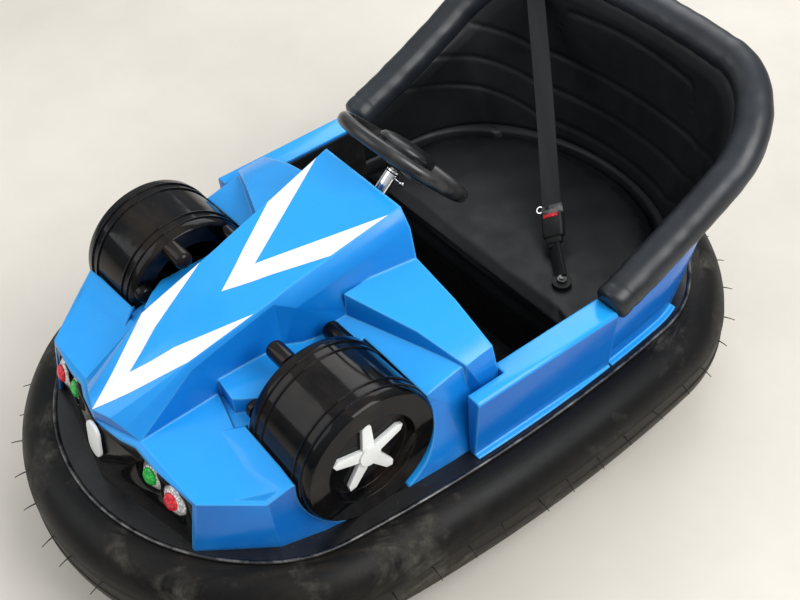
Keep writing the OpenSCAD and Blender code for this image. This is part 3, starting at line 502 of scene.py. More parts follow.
@dataclass(frozen=True)
class Webbing:
    """Woven belt webbing with ribs along it and a cross weave."""

    base: tuple[float, float, float] = (0.0075, 0.0082, 0.0092)
    ribs: float = 2200.0
    weft: float = 900.0

    def build(self, name: str) -> Material:
        """Builds the material."""
        g = Graph(name)
        along = g.calc("SINE", g.calc("MULTIPLY", g.axis(0, Flow.UV), self.ribs))
        across = g.calc("SINE", g.calc("MULTIPLY", g.axis(1, Flow.UV), self.weft))
        weave = g.calc("MULTIPLY", along, across)
        colour = g.blend(g.span(weave, -1.0, 1.0), self.base, (0.020, 0.021, 0.023))
        return g.surface(Base_Color=colour, Roughness=0.66, Normal=g.relief(weave, 0.5, 0.0004),
                         Specular_IOR_Level=0.3)


@dataclass(frozen=True)
class Lens:
    """Coloured clear moulding with a cut-diamond pattern."""

    tint: tuple[float, float, float] = (0.85, 0.02, 0.04)
    facets: float = 150.0

    def build(self, name: str) -> Material:
        """Builds the material."""
        g = Graph(name)
        cut = g.relief(g.cells(self.facets), 0.7, 0.0020)
        deep = tuple(0.45 * c for c in self.tint)
        depth = g.blend(g.span(g.cells(self.facets), 0.1, 0.6), self.tint, deep)
        # The faint emission is a painted glow, and it also shows on the buckle button, which is no lamp.
        return g.surface(Base_Color=depth, Roughness=0.10, Normal=cut, IOR=1.49, Emission_Color=depth,
                         Emission_Strength=0.22)


@dataclass(frozen=True)
class WhiteTrim:
    """White moulded or cut trim with slight yellowing and fine dirt."""

    base: tuple[float, float, float] = (0.80, 0.81, 0.80)
    rough: float = 0.28

    def build(self, name: str) -> Material:
        """Builds the material."""
        g = Graph(name)
        film = g.span(g.noise(12.0, 7.0, 0.7), 0.48, 0.8, 0.0, 0.45)
        specks = g.span(g.noise(150.0, 5.0, 0.7), 0.67, 0.77, 0.0, 0.55)
        colour = g.blend(g.calc("MAXIMUM", film, specks), self.base, (0.52, 0.51, 0.46))
        rough = g.span(g.noise(40.0), 0.3, 0.7, self.rough, self.rough + 0.15)
        return g.surface(Base_Color=colour, Roughness=rough,
                         Normal=g.relief(g.noise(200.0), 0.08, 0.0004, g.eased_edges(0.0015)))


@dataclass(frozen=True)
class CutCrystal:
    """Bright faceted reflector skirt round a lamp, with painted reflection: its near-white colour and darker
    cells paint the sparkle of the cut facets.
    """

    base: tuple[float, float, float] = (0.90, 0.90, 0.88)
    painted_shade: tuple[float, float, float] = (0.42, 0.40, 0.40)
    facets: float = 230.0

    def build(self, name: str) -> Material:
        """Builds the material."""
        g = Graph(name)
        cut = g.relief(g.cells(self.facets), 0.6, 0.0012)
        # Painted reflection: bright cells and painted shade cells stand for facets that catch or miss the
        # light.
        shade = g.blend(g.span(g.cells(self.facets), 0.30, 0.62), self.base, self.painted_shade)
        return g.surface(Base_Color=shade, Metallic=0.15, Roughness=0.12, Normal=cut)


@dataclass(frozen=True)
class GripPlastic:
    """Smooth dark rim plastic, polished grey by hands where they hold it."""

    base: tuple[float, float, float] = (0.010, 0.010, 0.011)

    def build(self, name: str) -> Material:
        """Builds the material."""
        g = Graph(name)
        wear_dust_and_reflection = g.span(g.noise(9.0, 6.0, 0.65), 0.46, 0.70, 0.0, 0.65)
        return g.surface(Base_Color=g.blend(wear_dust_and_reflection, self.base, (0.075, 0.070, 0.062)),
                         Roughness=g.span(g.noise(18.0, 5.0), 0.3, 0.7, 0.20, 0.46),
                         Normal=g.relief(g.noise(240.0, 3.0), 0.12, 0.0004))


FINISHES: dict[str, object] = {
    "blue_moulding": PaintedMoulding(),
    "black_moulding": GlossMoulding(),
    "black_panel": SatinPanel(),
    "black_steel": WornPaint(),
    "bare_steel": TurnedSteel(),
    "bright_trim": Plating(),
    "ring_rubber": DustyRubber(),
    "tyre_rubber": TyreRubber(),
    "wheel_casting": RoughCasting(),
    "motor_casting": RoughCasting(base=(0.10, 0.105, 0.11), metallic=0.3),
    "black_vinyl": Vinyl(),
    "webbing": Webbing(),
    "red_lens": Lens(),
    "green_lens": Lens(tint=(0.01, 0.55, 0.06)),
    "white_trim": WhiteTrim(),
    "wheel_rim_plastic": GripPlastic(),
    "battery_case": SatinPanel(base=(0.03, 0.03, 0.032)),
}
EXTRA_FINISHES: dict[str, object] = {
    "lamp_skirt": CutCrystal(),
    # The roll's vinyl is a lighter, bluer copy of the black vinyl: painted light, as if lit from above.
    "lit_roll_vinyl": Vinyl(base=(0.0085, 0.0105, 0.0135), grain=520.0, rough=0.38, level=0.45),
}


@dataclass
class Shop:
    """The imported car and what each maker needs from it."""

    frame: dict
    finishes: dict[str, Material] = field(default_factory=dict)

    def __post_init__(self) -> None:
        """Builds every finish once and reads which slot and body each node has."""
        self.finishes = {name: finish.build(name) for name, finish in (FINISHES | EXTRA_FINISHES).items()}
        record = self.frame["record"]
        self.slots = {row["node"]: row["material_slot"] for row in record["subparts"]}
        self.bodies = {node: body for body, nodes in record["behaviour"]["bodies"].items() for node in nodes}

    def piece(self, name: str, bm: bmesh.types.BMesh, slot: str, body: str = "chassis",
              smooth: float | None = 32.0, stands_for: tuple[str, ...] = (),
              finish: str | None = None) -> Object:
        """Turns a mesh into a dressed piece that rides on a body.

        Args:
            name: The piece's name.
            bm: Its mesh, freed here.
            slot: The record's material slot.
            body: The body it rides on.
            smooth: Angle above which edges stay sharp, or None for flat faces.
            stands_for: CAD nodes that it replaces.
            finish: A finish of the scene's own, where it isn't the slot's.

        Returns:
            The object.
        """
        mesh = bpy.data.meshes.new(name)
        bm.to_mesh(mesh)
        bm.free()
        if smooth is not None:
            mesh.polygons.foreach_set("use_smooth", [True] * len(mesh.polygons))
            mesh.set_sharp_from_angle(angle=math.radians(smooth))
        obj = linked(name, mesh)
        mesh.materials.append(self.finishes[finish or slot])
        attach(obj, body)
        if stands_for:
            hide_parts(*stands_for)
        LOG.info("%s: %d faces on %s", name, len(mesh.polygons), body)
        return obj

    def merged(self, node: str) -> bmesh.types.BMesh:
        """Returns a copy of a CAD node's mesh with its triangles joined and flat areas made one face."""
        bm = bmesh.new()
        bm.from_mesh(self.frame["nodes"][node].data)
        bmesh.ops.remove_doubles(bm, verts=bm.verts, dist=2e-5)
        bmesh.ops.dissolve_limit(bm, angle_limit=math.radians(0.6), verts=bm.verts, edges=bm.edges)
        return bm

    def refine(self, node: str, rounding: float = 0.0, smooth: float = 32.0, segments: int = 2) -> Object:
        """Replaces a CAD node by its own shape with smooth faces and eased edges.

        Args:
            node: The CAD node.
            rounding: Radius of its edges.
            smooth: Angle above which edges stay sharp.
            segments: Faces across a rounded edge.

        Returns:
            The piece.
        """
        bm = self.merged(node)
        if rounding:
            sharp = [e for e in bm.edges if e.is_manifold and e.calc_face_angle(0.0) > SHARP]
            eased(bm, sharp, rounding, segments)
        return self.piece(f"{node}_dressed", bm, self.slots[node], self.bodies[node], smooth, (node,))

    def paint_nodes(self) -> None:
        """Gives every CAD node that still shows its slot's finish."""
        for node, obj in self.frame["nodes"].items():
            obj.data.materials.clear()
            obj.data.materials.append(self.finishes[self.slots[node]])


def linked(name: str, data: bpy.types.ID) -> Object:
    """Returns a new object of the scene that shows the data."""
    obj = bpy.data.objects.new(name, data)
    bpy.context.scene.collection.objects.link(obj)
    return obj


def eased(bm: bmesh.types.BMesh, edges: list[bmesh.types.BMEdge], radius: float, segments: int) -> None:
    """Rounds edges.

    Args:
        bm: The mesh.
        edges: The edges.
        radius: Radius of the rounding.
        segments: Faces across an edge.
    """
    bmesh.ops.bevel(bm, geom=edges, offset=radius, offset_type="OFFSET", segments=segments, profile=0.5,
                    affect="EDGES", clamp_overlap=True, material=-1)


def chain(bm: bmesh.types.BMesh, points: list[Vector], closed: bool) -> list[bmesh.types.BMEdge]:
    """Draws a line of edges through points.

    Args:
        bm: The mesh that gets it.
        points: The points in order.
        closed: Whether the last joins the first.

    Returns:
        The edges.
    """
    verts = [bm.verts.new(p) for p in points]
    pairs = list(zip(verts, verts[1:])) + ([(verts[-1], verts[0])] if closed else [])
    return [bm.edges.new(pair) for pair in pairs]


def bridged(bm: bmesh.types.BMesh, stations: list[list[Vector]], closed: bool) -> None:
    """Bridges a row of like lines into one skin, with its ends closed where the lines are loops.

    Args:
        bm: The mesh that gets it.
        stations: The lines' points, the same number in each.
        closed: Whether each line is a loop.
    """
    lines = [chain(bm, points, closed) for points in stations]
    for a, b in zip(lines, lines[1:]):
        bmesh.ops.bridge_loops(bm, edges=a + b)
    if closed:
        for line in (lines[0], lines[-1]):
            bmesh.ops.contextual_create(bm, geom=line)


def tidy(bm: bmesh.types.BMesh, distance: float = 1e-5) -> bmesh.types.BMesh:
    """Merges doubles and points every face outwards."""
    bmesh.ops.remove_doubles(bm, verts=bm.verts, dist=distance)
    bmesh.ops.recalc_face_normals(bm, faces=bm.faces)
    return bm


def rounded_box(bm: bmesh.types.BMesh, size: Vector, place: Matrix, radius: float, segments: int = 2) -> None:
    """Adds a box with rounded edges.

    Args:
        bm: The mesh that gets it.
        size: Its size.
        place: Where it stands and how it is turned.
        radius: Radius of its edges.
        segments: Faces across an edge.
    """
    made = bmesh.ops.create_cube(bm, size=1.0, matrix=place @ Matrix.Diagonal((*size, 1.0)))
    eased(bm, list({e for v in made["verts"] for e in v.link_edges}), radius, segments)


def turned(bm: bmesh.types.BMesh, profile: Sequence[tuple[float, float]], place: Matrix,
           steps: int = 64) -> None:
    """Spins an outline of (radius, height) round the local Z axis.

    Args:
        bm: The mesh that gets it.
        profile: The outline, which starts and ends on the axis or closes on itself.
        place: Where the axis stands.
        steps: Faces round the axis.
    """
    part = bmesh.new()
    closed = profile[0] == profile[-1]
    points = [Vector((r, 0.0, z)) for r, z in (profile[:-1] if closed else profile)]
    edges = chain(part, points, closed)
    verts = list({v for e in edges for v in e.verts})
    bmesh.ops.spin(part, geom=verts + edges, cent=(0, 0, 0), axis=(0, 0, 1), dvec=(0, 0, 0), angle=math.tau,
                   steps=steps, use_merge=True, use_duplicate=False)
    tidy(part)
    bmesh.ops.transform(part, matrix=place, verts=part.verts)
    absorb(bm, part)


def absorb(bm: bmesh.types.BMesh, part: bmesh.types.BMesh) -> None:
    """Adds the faces of a part to a mesh and frees the part."""
    scratch = bpy.data.meshes.new("scratch")
    part.to_mesh(scratch)
    part.free()
    bm.from_mesh(scratch)
    bpy.data.meshes.remove(scratch)


def aimed(place: Vector, direction: Vector) -> Matrix:
    """Returns the place whose local Z axis points in a direction."""
    return Matrix.Translation(place) @ direction.to_track_quat("Z", "Y").to_matrix().to_4x4()


def hex_bolt(bm: bmesh.types.BMesh, place: Matrix, across: float, height: float) -> None:
    """Adds a hexagon bolt head on its washer.

    Args:
        bm: The mesh that gets it.
        place: Middle of the seat, with Z outwards.
        across: Distance across its corners.
        height: Height of the head.
    """
    bmesh.ops.create_cone(bm, cap_ends=True, segments=20, radius1=across * 0.72, radius2=across * 0.70,
                          depth=height * 0.3, matrix=place @ Matrix.Translation((0, 0, height * 0.15)))
    bmesh.ops.create_cone(bm, cap_ends=True, segments=6, radius1=across / 2, radius2=across / 2, depth=height,
                          matrix=place @ Matrix.Translation((0, 0, height * 0.8)))


@dataclass(frozen=True)
class Oval:
    """The outline seen from above: side, corner and end arcs, tangent to one another."""

    half_w: float = 0.560
    half_l: float = 0.842
    side_r: float = 3.6
    corner_r: float = 0.370
    corner_set: float = 0.4484

    @property
    def side_angle(self) -> float:
        """Half of the angle that a side arc turns through."""
        return math.asin((self.half_l - self.corner_set) / (self.side_r - self.corner_r))

    @property
    def corner(self) -> Vector:
        """Centre of the rear left corner arc."""
        reach, turn = self.side_r - self.corner_r, self.side_angle
        return Vector((self.half_w - self.side_r + reach * math.cos(turn), reach * math.sin(turn)))

    @property
    def end_r(self) -> float:
        """Radius of the end arcs."""
        rise = self.corner.y - self.half_l
        return (self.corner_r**2 - self.corner.x**2 - rise**2) / (2 * (rise + self.corner_r))

    def arcs(self) -> list[tuple[Vector, float, float, float]]:
        """Returns centre, radius, start angle and sweep of each arc, from the left side's middle round."""
        c, y = self.corner, self.half_l - self.end_r
        turn = math.asin(c.x / (self.end_r - self.corner_r))
        side, low, half = self.side_angle, self.half_w - self.side_r, math.pi / 2
        bend = half - turn - side
        return [
            (Vector((low, 0)), self.side_r, 0.0, side), (c, self.corner_r, side, bend),
            (Vector((0, y)), self.end_r, half - turn, 2 * turn),
            (Vector((-c.x, c.y)), self.corner_r, half + turn, bend),
            (Vector((-low, 0)), self.side_r, math.pi - side, 2 * side),
            (Vector((-c.x, -c.y)), self.corner_r, math.pi + side, bend),
            (Vector((0, -y)), self.end_r, 3 * half - turn, 2 * turn),
            (Vector((c.x, -c.y)), self.corner_r, 3 * half + turn, bend),
            (Vector((low, 0)), self.side_r, -side, side)]

    def length(self) -> float:
        """Returns the length of the whole outline."""
        return sum(radius * sweep for _, radius, _, sweep in self.arcs())

    def at(self, way: float) -> tuple[Vector, Vector]:
        """Returns the point and outward direction at a way along the outline."""
        for centre, radius, start, sweep in self.arcs():
            if way <= radius * sweep:
                angle = start + way / radius
                out = Vector((math.cos(angle), math.sin(angle)))
                return centre + radius * out, out
            way -= radius * sweep
        return self.at(0.0)

    def half_width(self, y: float, inset: float) -> float:
        """Half-width at a station of the outline drawn in by an inset."""
        u, c = abs(y), self.corner
        if u <= (self.side_r - inset) * math.sin(self.side_angle):
            return self.half_w - self.side_r + math.sqrt((self.side_r - inset) ** 2 - u * u)
        return c.x + math.sqrt(max(0.0, (self.corner_r - inset) ** 2 - (u - c.y) ** 2))

    def foot(self, x: float, y: float, pivot: float, inset: float) -> Vector:
        """Returns the outline's point on the ray from a pivot on the centre line through a plan point.

        Args:
            x: The plan point's x.
            y: The plan point's y.
            pivot: The pivot's y.
            inset: How far the outline is drawn in.

        Returns:
            The point.
        """
        if y <= pivot:
            return Vector((math.copysign(self.half_width(y, inset), x), y))
        ray = Vector((x, y - pivot)).normalized()
        best, start = None, Vector((0.0, pivot))
        for centre, radius, first, sweep in self.arcs():
            near = start - centre
            b, c = near.dot(ray), near.length_squared - (radius - inset) ** 2
            if b * b < c:
                continue
            hit = start + (math.sqrt(b * b - c) - b) * ray
            angle = (math.atan2(hit.y - centre.y, hit.x - centre.x) - first) % math.tau
            if angle <= sweep + 1e-6 or angle > math.tau - 1e-6:
                best = hit
        return best


@dataclass
class Bumper:
    """Rubber ring, steel hoop and the moulding whiskers of the rubber."""

    shop: Shop
    oval: Oval
    bottom: float = 0.088
    height: float = 0.196
    width: float = 0.094
    top_r: float = 0.078
    low_r: float = 0.072
    hoop_in: float = 0.1003
    flange_z: float = 0.2843
    step: float = 0.018
    whisker: float = 0.036
    whisker_r: float = 0.0017
    whisker_step: float = 0.088
    whisker_z: tuple[float, float] = (0.186, 0.200)
    whisker_lean: float = 0.25
    whisker_droop: float = 0.09
    whisker_taper: float = 0.86
    streak_turn: float = 3.2
    streak_fine: float = 42.0

    def swept(self, section: list[tuple[float, float]]) -> bmesh.types.BMesh:
        """Spins a closed section, inset and height, round every arc of the outline.

        Args:
            section: The section's points.

        Returns:
            The closed ring with a streak attribute that follows it.
        """
        bm = bmesh.new()
        edges = chain(bm, [Vector((self.oval.half_w - d, 0.0, z)) for d, z in section], True)
        last: list = list({v for e in edges for v in e.verts}) + edges
        for centre, radius, _, sweep in self.oval.arcs():
            steps = max(2, round(radius * sweep / self.step))
            made = bmesh.ops.spin(bm, geom=last, cent=(*centre, 0.0), axis=(0, 0, 1), dvec=(0, 0, 0),
                                  angle=sweep, steps=steps, use_merge=False, use_duplicate=False)
            last = made["geom_last"]
        tidy(bm, 2e-5)
        layer = bm.verts.layers.float_vector.new("streak")
        top, turn = self.bottom + self.height, self.streak_turn
        for v in bm.verts:
            across, along = v.co.x / self.oval.half_w, v.co.y / self.oval.half_l
            angle, inset = math.atan2(along, across), self.oval.half_w * (1.0 - math.hypot(across, along))
            v[layer] = (turn * math.cos(angle), turn * math.sin(angle),
                        (inset + 0.8 * (top - v.co.z)) * self.streak_fine)
        return bm

    def rubber_section(self) -> list[tuple[float, float]]:
        """Returns the ring's section with the raised mould line on its face."""
        def arc(d: float, z: float, r: float, start: int) -> list[tuple[float, float]]:
            angles = [math.radians(start + 9 * k) for k in range(11)]
            return [(d - r * math.cos(t), z + r * math.sin(t)) for t in angles]

        low = arc(self.low_r, self.bottom + self.low_r, self.low_r, -90)
        top = arc(self.top_r, self.bottom + self.height - self.top_r, self.top_r, 0)
        z0, z1 = low[-1][1], top[0][1]
        band = [(0.0, z0 + 0.004), (0.0018, z0 + 0.006), (0.0018, z1 - 0.008), (-0.0008, z1 - 0.005),
                (-0.0008, z1 - 0.002)]
        return [(self.width, self.bottom)] + low + band + top + [(self.width, self.bottom + self.height)]

    def hoop_section(self) -> list[tuple[float, float]]:
        """Returns the section of the hoop: upright band, flange and round bead."""
        edge, z, bead = self.width - 0.008, self.flange_z, 0.004
        round_bead = [(edge - bead * math.cos(math.radians(t)), z + bead + bead * math.sin(math.radians(t)))
                      for t in range(-90, 91, 18)]
        lip, low, face = edge + 0.056, self.bottom + 0.006, self.width + 0.0003
        flange = [(edge + 0.006, z + bead), (lip - 0.001, z + bead), (lip, z + 0.003), (lip, z),
                  (self.hoop_in, z)]
        return [(self.hoop_in, low), (face, low), (face, z)] + round_bead + flange

    def whiskers(self) -> bmesh.types.BMesh:
        """Returns the thin rubber whiskers that the mould leaves round the ring."""
        dice, bm = random.Random(7), bmesh.new()
        count = round(self.oval.length() / self.whisker_step)
        for k in range(count):
            way = (k + 0.5 + dice.uniform(-0.12, 0.12)) * self.whisker_step
            point, out = self.oval.at(min(way, self.oval.length() - 0.001))
            along = Vector((-out.y, out.x, 0.0))
            lean = dice.uniform(-self.whisker_lean, self.whisker_lean)
            base = Vector((*(point - 0.003 * out), dice.uniform(*self.whisker_z)))
            heading = (Vector((*out, 0.0)) + along * lean + UP * dice.uniform(-0.30, 0.10)).normalized()
            self.hair(bm, base, heading, self.whisker * dice.uniform(0.7, 1.0))
        return bm

    def hair(self, bm: bmesh.types.BMesh, base: Vector, heading: Vector, length: float) -> None:
        """Grows one drooping whisker by extruding a small ring.

        Args:
            bm: The mesh that gets it.
            base: Where it leaves the rubber.
            heading: The way it starts.
            length: Its length.
        """
        steps = 4
        made = bmesh.ops.create_circle(bm, cap_ends=False, segments=5, radius=self.whisker_r,
                                       matrix=aimed(base, heading))
        edges = list({e for v in made["verts"] for e in v.link_edges})
        centre = base.copy()
        for _ in range(steps):
            grown = bmesh.ops.extrude_edge_only(bm, edges=edges)["geom"]
            verts = [g for g in grown if isinstance(g, bmesh.types.BMVert)]
            edges = [g for g in grown if isinstance(g, bmesh.types.BMEdge)]
            bmesh.ops.translate(bm, verts=verts, vec=heading * length / steps)
            centre = centre + heading * length / steps
            bmesh.ops.scale(bm, verts=verts, vec=[self.whisker_taper] * 3, space=Matrix.Translation(-centre))
            heading = (heading - self.whisker_droop * UP).normalized()
        bmesh.ops.contextual_create(bm, geom=edges)

    def build(self) -> None:
        """Builds the ring, the hoop and the whiskers."""
        self.shop.piece("rubber_ring", self.swept(self.rubber_section()), "ring_rubber", smooth=28.0,
                        stands_for=("bumper_ring",))
        self.shop.piece("steel_hoop", self.swept(self.hoop_section()), "black_steel", smooth=30.0,
                        stands_for=("bumper_rim",))
        self.shop.piece("ring_whiskers", self.whiskers(), "ring_rubber", smooth=60.0, finish="black_panel")


@dataclass(frozen=True)
class TubLine:
    """The U of the seat tub: the padded roll's line and the wall below it."""

    oval: Oval
    front: float = 0.262
    back: float = 0.764
    bow: float = 0.028
    corner: float = 0.178
    half_w: float = 0.431
    low_z: float = 0.455
    high_z: float = 0.717
    base_z: float = 0.2886
    foot_inset: float = 0.112
    swell: float = 0.008
    roll_r: float = 0.041
    roll_gap: float = 0.0009

    def roll(self, share: float) -> Vector:
        """Returns the roll's middle at a share of its way, 0 at the left front end and 1 at the right one."""
        straight = self.back - self.corner - self.front
        bend, rest = math.pi / 2 * self.corner, self.half_w - self.corner
        way = (straight + bend + rest) * 2 * min(share, 1 - share)
        if way < straight:
            x, y = self.half_w, self.front + way
        elif way < straight + bend:
            angle = (way - straight) / self.corner
            x = rest + self.corner * math.cos(angle)
            y = self.back - self.corner + self.corner * math.sin(angle)
        else:
            x, y = straight + bend + rest - way, self.back
        f = (y - self.front) / (self.back - self.front)
        y += self.bow * (1 - (x / self.half_w) ** 2) * f
        f = (y - self.front) / (self.back - self.front)
        z = self.low_z + (self.high_z - self.low_z) * (0.73 * f + 0.27 * f * f)
        return Vector((x if share <= 0.5 else -x, y, z))

    def frame(self, share: float) -> tuple[Vector, Vector, Vector]:
        """Returns the roll's middle, its direction and the outward direction in plan."""
        ahead = self.roll(min(1.0, share + 0.003)) - self.roll(max(0.0, share - 0.003))
        ahead.normalize()
        return self.roll(share), ahead, Vector((ahead.y, -ahead.x, 0.0)).normalized()

    def top(self, share: float) -> float:
        """Returns the height of the wall's upper edge, just under the roll."""
        p, ahead, _ = self.frame(share)
        return p.z - self.roll_r / math.hypot(ahead.x, ahead.y) - self.roll_gap

    def wall(self, share: float, out: float, z: float) -> Vector:
        """Returns a point of the wall at a height, moved outwards."""
        p, _, side = self.frame(share)
        foot = self.oval.foot(p.x, p.y, self.back - self.corner, self.foot_inset)
        k = (z - self.base_z) / (p.z - self.base_z)
        plan = foot + (Vector((p.x, p.y)) - foot) * k
        bulge = out + self.swell * math.sin(math.pi * min(1.0, k))
        return Vector((plan.x + bulge * side.x, plan.y + bulge * side.y, z))


@dataclass
class Body:
    """Blue mouldings with their stripes, the black fascia, lamps and badge."""

    shop: Shop
    tub: TubLine
    shell_t: float = 0.006
    foot_t: float = 0.005
    foot_insets: tuple[float, float] = (0.098, 0.116)
    foot_run: tuple[float, float] = (0.265, 0.492)
    stripe_lift: float = 0.0005
    stripes: tuple[tuple[tuple[float, float], ...], ...] = (
        ((0.0, -0.690), (0.087, -0.512), (0.097, -0.363), (0.0, -0.599)),
        ((0.0, -0.375), (0.108, -0.184), (0.121, -0.048), (0.0, -0.293)))
    creases: tuple[float, ...] = (-0.512, -0.322, -0.285)
    stripe_start: float = 0.195
    stripe_low: float = 0.300
    red_lamp: Vector = Vector((0.215, -0.652, 0.381))
    green_lamp: Vector = Vector((0.146, -0.654, 0.393))
    lamp_up: float = math.radians(14)
    lamp_out: float = math.radians(8)
    hood_low: float = 0.46
    hood_nose: float = 0.478
    probes: tuple[tuple[float, float], ...] = ((1, 0), (0.99, 0), (0.97, 0.002), (0.9, 0.02), (0.5, 0.03))
    skirt: tuple[tuple[float, float], ...] = (
        (0.0, -0.010), (0.0340, -0.010), (0.0345, -0.0005), (0.0330, 0.0030), (0.0215, 0.0112),
        (0.0196, 0.0118), (0.0190, 0.0100), (0.0, 0.0100))
    cap: tuple[tuple[float, float], ...] = (
        (0.0, 0.0103), (0.0188, 0.0103), (0.0186, 0.0140), (0.0150, 0.0186), (0.0085, 0.0213), (0.0, 0.0220))

    def drop(self, name: str) -> Callable[[float, float], float | None]:
        """Returns a function that finds how high a node's surface lies at a plan point."""
        bm = bmesh.new()
        bm.from_mesh(self.shop.frame["nodes"][name].data)
        tree = BVHTree.FromBMesh(bm)
        bm.free()

        def height(x: float, y: float) -> float | None:
            hit = tree.ray_cast(Vector((x, y, 2.0)), Vector((0, 0, -1)))[0]
            return hit.z if hit else None
        return height

    def chevrons(self) -> bmesh.types.BMesh:
        """Cuts the white chevrons as thin sheet that lies on the hood's top."""
        height, bm = self.drop("front_cowl"), bmesh.new()
        for outline in self.stripes:
            for side in (1, -1):
                verts = [bm.verts.new((side * x, y, 0.0)) for x, y in outline]
                bm.faces.new(verts)
        for y in (*self.creases, *(-0.68 + 0.03 * k for k in range(22))):
            bmesh.ops.bisect_plane(bm, geom=bm.verts[:] + bm.edges[:] + bm.faces[:], dist=1e-5,
                                   plane_co=(0, y, 0), plane_no=(0, 1, 0))
        bmesh.ops.triangulate(bm, faces=bm.faces)
        for v in bm.verts:
            heights = (height(v.co.x * scale, v.co.y + ahead) for scale, ahead in self.probes)
            v.co.z = next((h for h in heights if h and h > self.hood_low), self.hood_nose) + self.stripe_lift
        tidy(bm, 1e-4)
        for face in bm.faces:
            if face.normal.z < 0:
                face.normal_flip()
        return bm

    def foot_strip(self, bm: bmesh.types.BMesh, side: int) -> None:
        """Adds the narrow foot that one side of the tub rests on the hoop with.

        Args:
            bm: The mesh that gets it.
            side: 1 on the left, -1 on the right.
        """
        part, low = bmesh.new(), self.tub.base_z
        oval, (out, inner), (front, rear) = self.tub.oval, self.foot_insets, self.foot_run
        stations = []
        for k in range(17):
            y = front + (rear - front) * k / 16
            wide, narrow, high = oval.half_width(y, out), oval.half_width(y, inner), low + self.foot_t
            stations.append([Vector((side * x, y, z)) for x, z in
                             ((wide, low), (wide, high), (narrow, high), (narrow, low))])
        bridged(part, stations, True)
        absorb(bm, tidy(part))

    def rear_wall(self) -> bmesh.types.BMesh:
        """Returns the smooth shell of the tub, from its foot to the roll."""
        bm, stations, base = bmesh.new(), [], self.tub.base_z
        count, rows = 96, 14
        for k in range(count + 1):
            share = k / count
            rise = self.tub.top(share) - base
            z = [base + rise * j / rows for j in range(rows + 1)]
            stations.append([self.tub.wall(share, 0.0, h) for h in z]
                            + [self.tub.wall(share, -self.shell_t, h) for h in reversed(z)])
        bridged(bm, stations, True)
        tidy(bm)
        for side in (1, -1):
            self.foot_strip(bm, side)
        return bm

    def rear_stripe(self) -> bmesh.types.BMesh:
        """Returns the white band that rises round the back of the tub."""
        bm, stations = bmesh.new(), []
        start = self.stripe_start
        for k in range(81):
            share = start + (1 - 2 * start) * k / 80
            rise = 1 - abs(2 * share - 1) / (1 - 2 * start)
            low = self.stripe_low + 0.085 * rise
            high = low + 0.150 * math.sqrt(max(0.0, rise)) * (1 - 0.45 * rise)
            heights = [low + (high - low) * j / 6 for j in range(7)]
            stations.append([self.tub.wall(share, self.stripe_lift, h) for h in heights])
        bridged(bm, stations, False)
        bmesh.ops.recalc_face_normals(bm, faces=bm.faces)
        middle = min(bm.faces, key=lambda f: abs(f.calc_center_median().x))
        if middle.normal.y < 0:
            bmesh.ops.reverse_faces(bm, faces=bm.faces)
        return bm

    def lamp_place(self, point: Vector, side: int) -> Matrix:
        """Returns where a lamp's seat stands, with Z out of it."""
        place = (Matrix.Translation(point) @ Matrix.Rotation(self.lamp_out, 4, "Z")
                 @ Matrix.Rotation(math.pi / 2 - self.lamp_up, 4, "X"))
        return place if side > 0 else Matrix.Diagonal((-1, 1, 1, 1)) @ place @ Matrix.Diagonal((-1, 1, 1, 1))

    def lamps(self) -> None:
        """Builds the four cabochon lamps: a cut bright skirt and a faceted coloured cap."""
        skirts = bmesh.new()
        for side, hand in SIDES:
            for point, colour in ((self.red_lamp, "red"), (self.green_lamp, "green")):
                place = self.lamp_place(point, side)
                turned(skirts, self.skirt, place, 18)
                cap = bmesh.new()
                turned(cap, self.cap, place, 12)
                self.shop.piece(f"lamp_cap_{colour}_{hand}", cap, f"{colour}_lens", smooth=None,
                                stands_for=(f"lamp_{colour}_{hand}",))
        self.shop.piece("lamp_skirts", skirts, "bright_trim", smooth=None, stands_for=("lamp_bezels",),
                        finish="lamp_skirt")

    def build(self) -> None:
        """Builds the body's own pieces."""
        self.shop.piece("hood_chevrons", self.chevrons(), "white_trim", smooth=20.0)
        self.shop.piece("tub_wall", self.rear_wall(), "blue_moulding", smooth=40.0,
                        stands_for=("rear_shell",))
        self.shop.piece("tub_stripe", self.rear_stripe(), "white_trim", smooth=60.0)
        self.lamps()
        self.shop.refine("nose_badge", 0.002, 40.0, 3)
        self.shop.refine("fascia", 0.003, 30.0, 2)
        self.shop.refine("front_cowl", 0.003, 17.0, 2)
        self.shop.refine("sill_left", 0.003, 30.0, 3)
        self.shop.refine("sill_right", 0.003, 30.0, 3)


@dataclass
class Drums:
    """The two drums that stand for front wheels, with hub trims and pegs."""

    shop: Shop

    def build(self) -> None:
        """Builds smooth drums, trims and pegs."""
        for _, hand in SIDES:
            self.shop.refine(f"drum_{hand}", 0.0, 30.0)
            self.shop.refine(f"hub_trim_{hand}", 0.0025, 40.0, 3)
        self.shop.refine("drum_pegs", 0.0, 50.0)


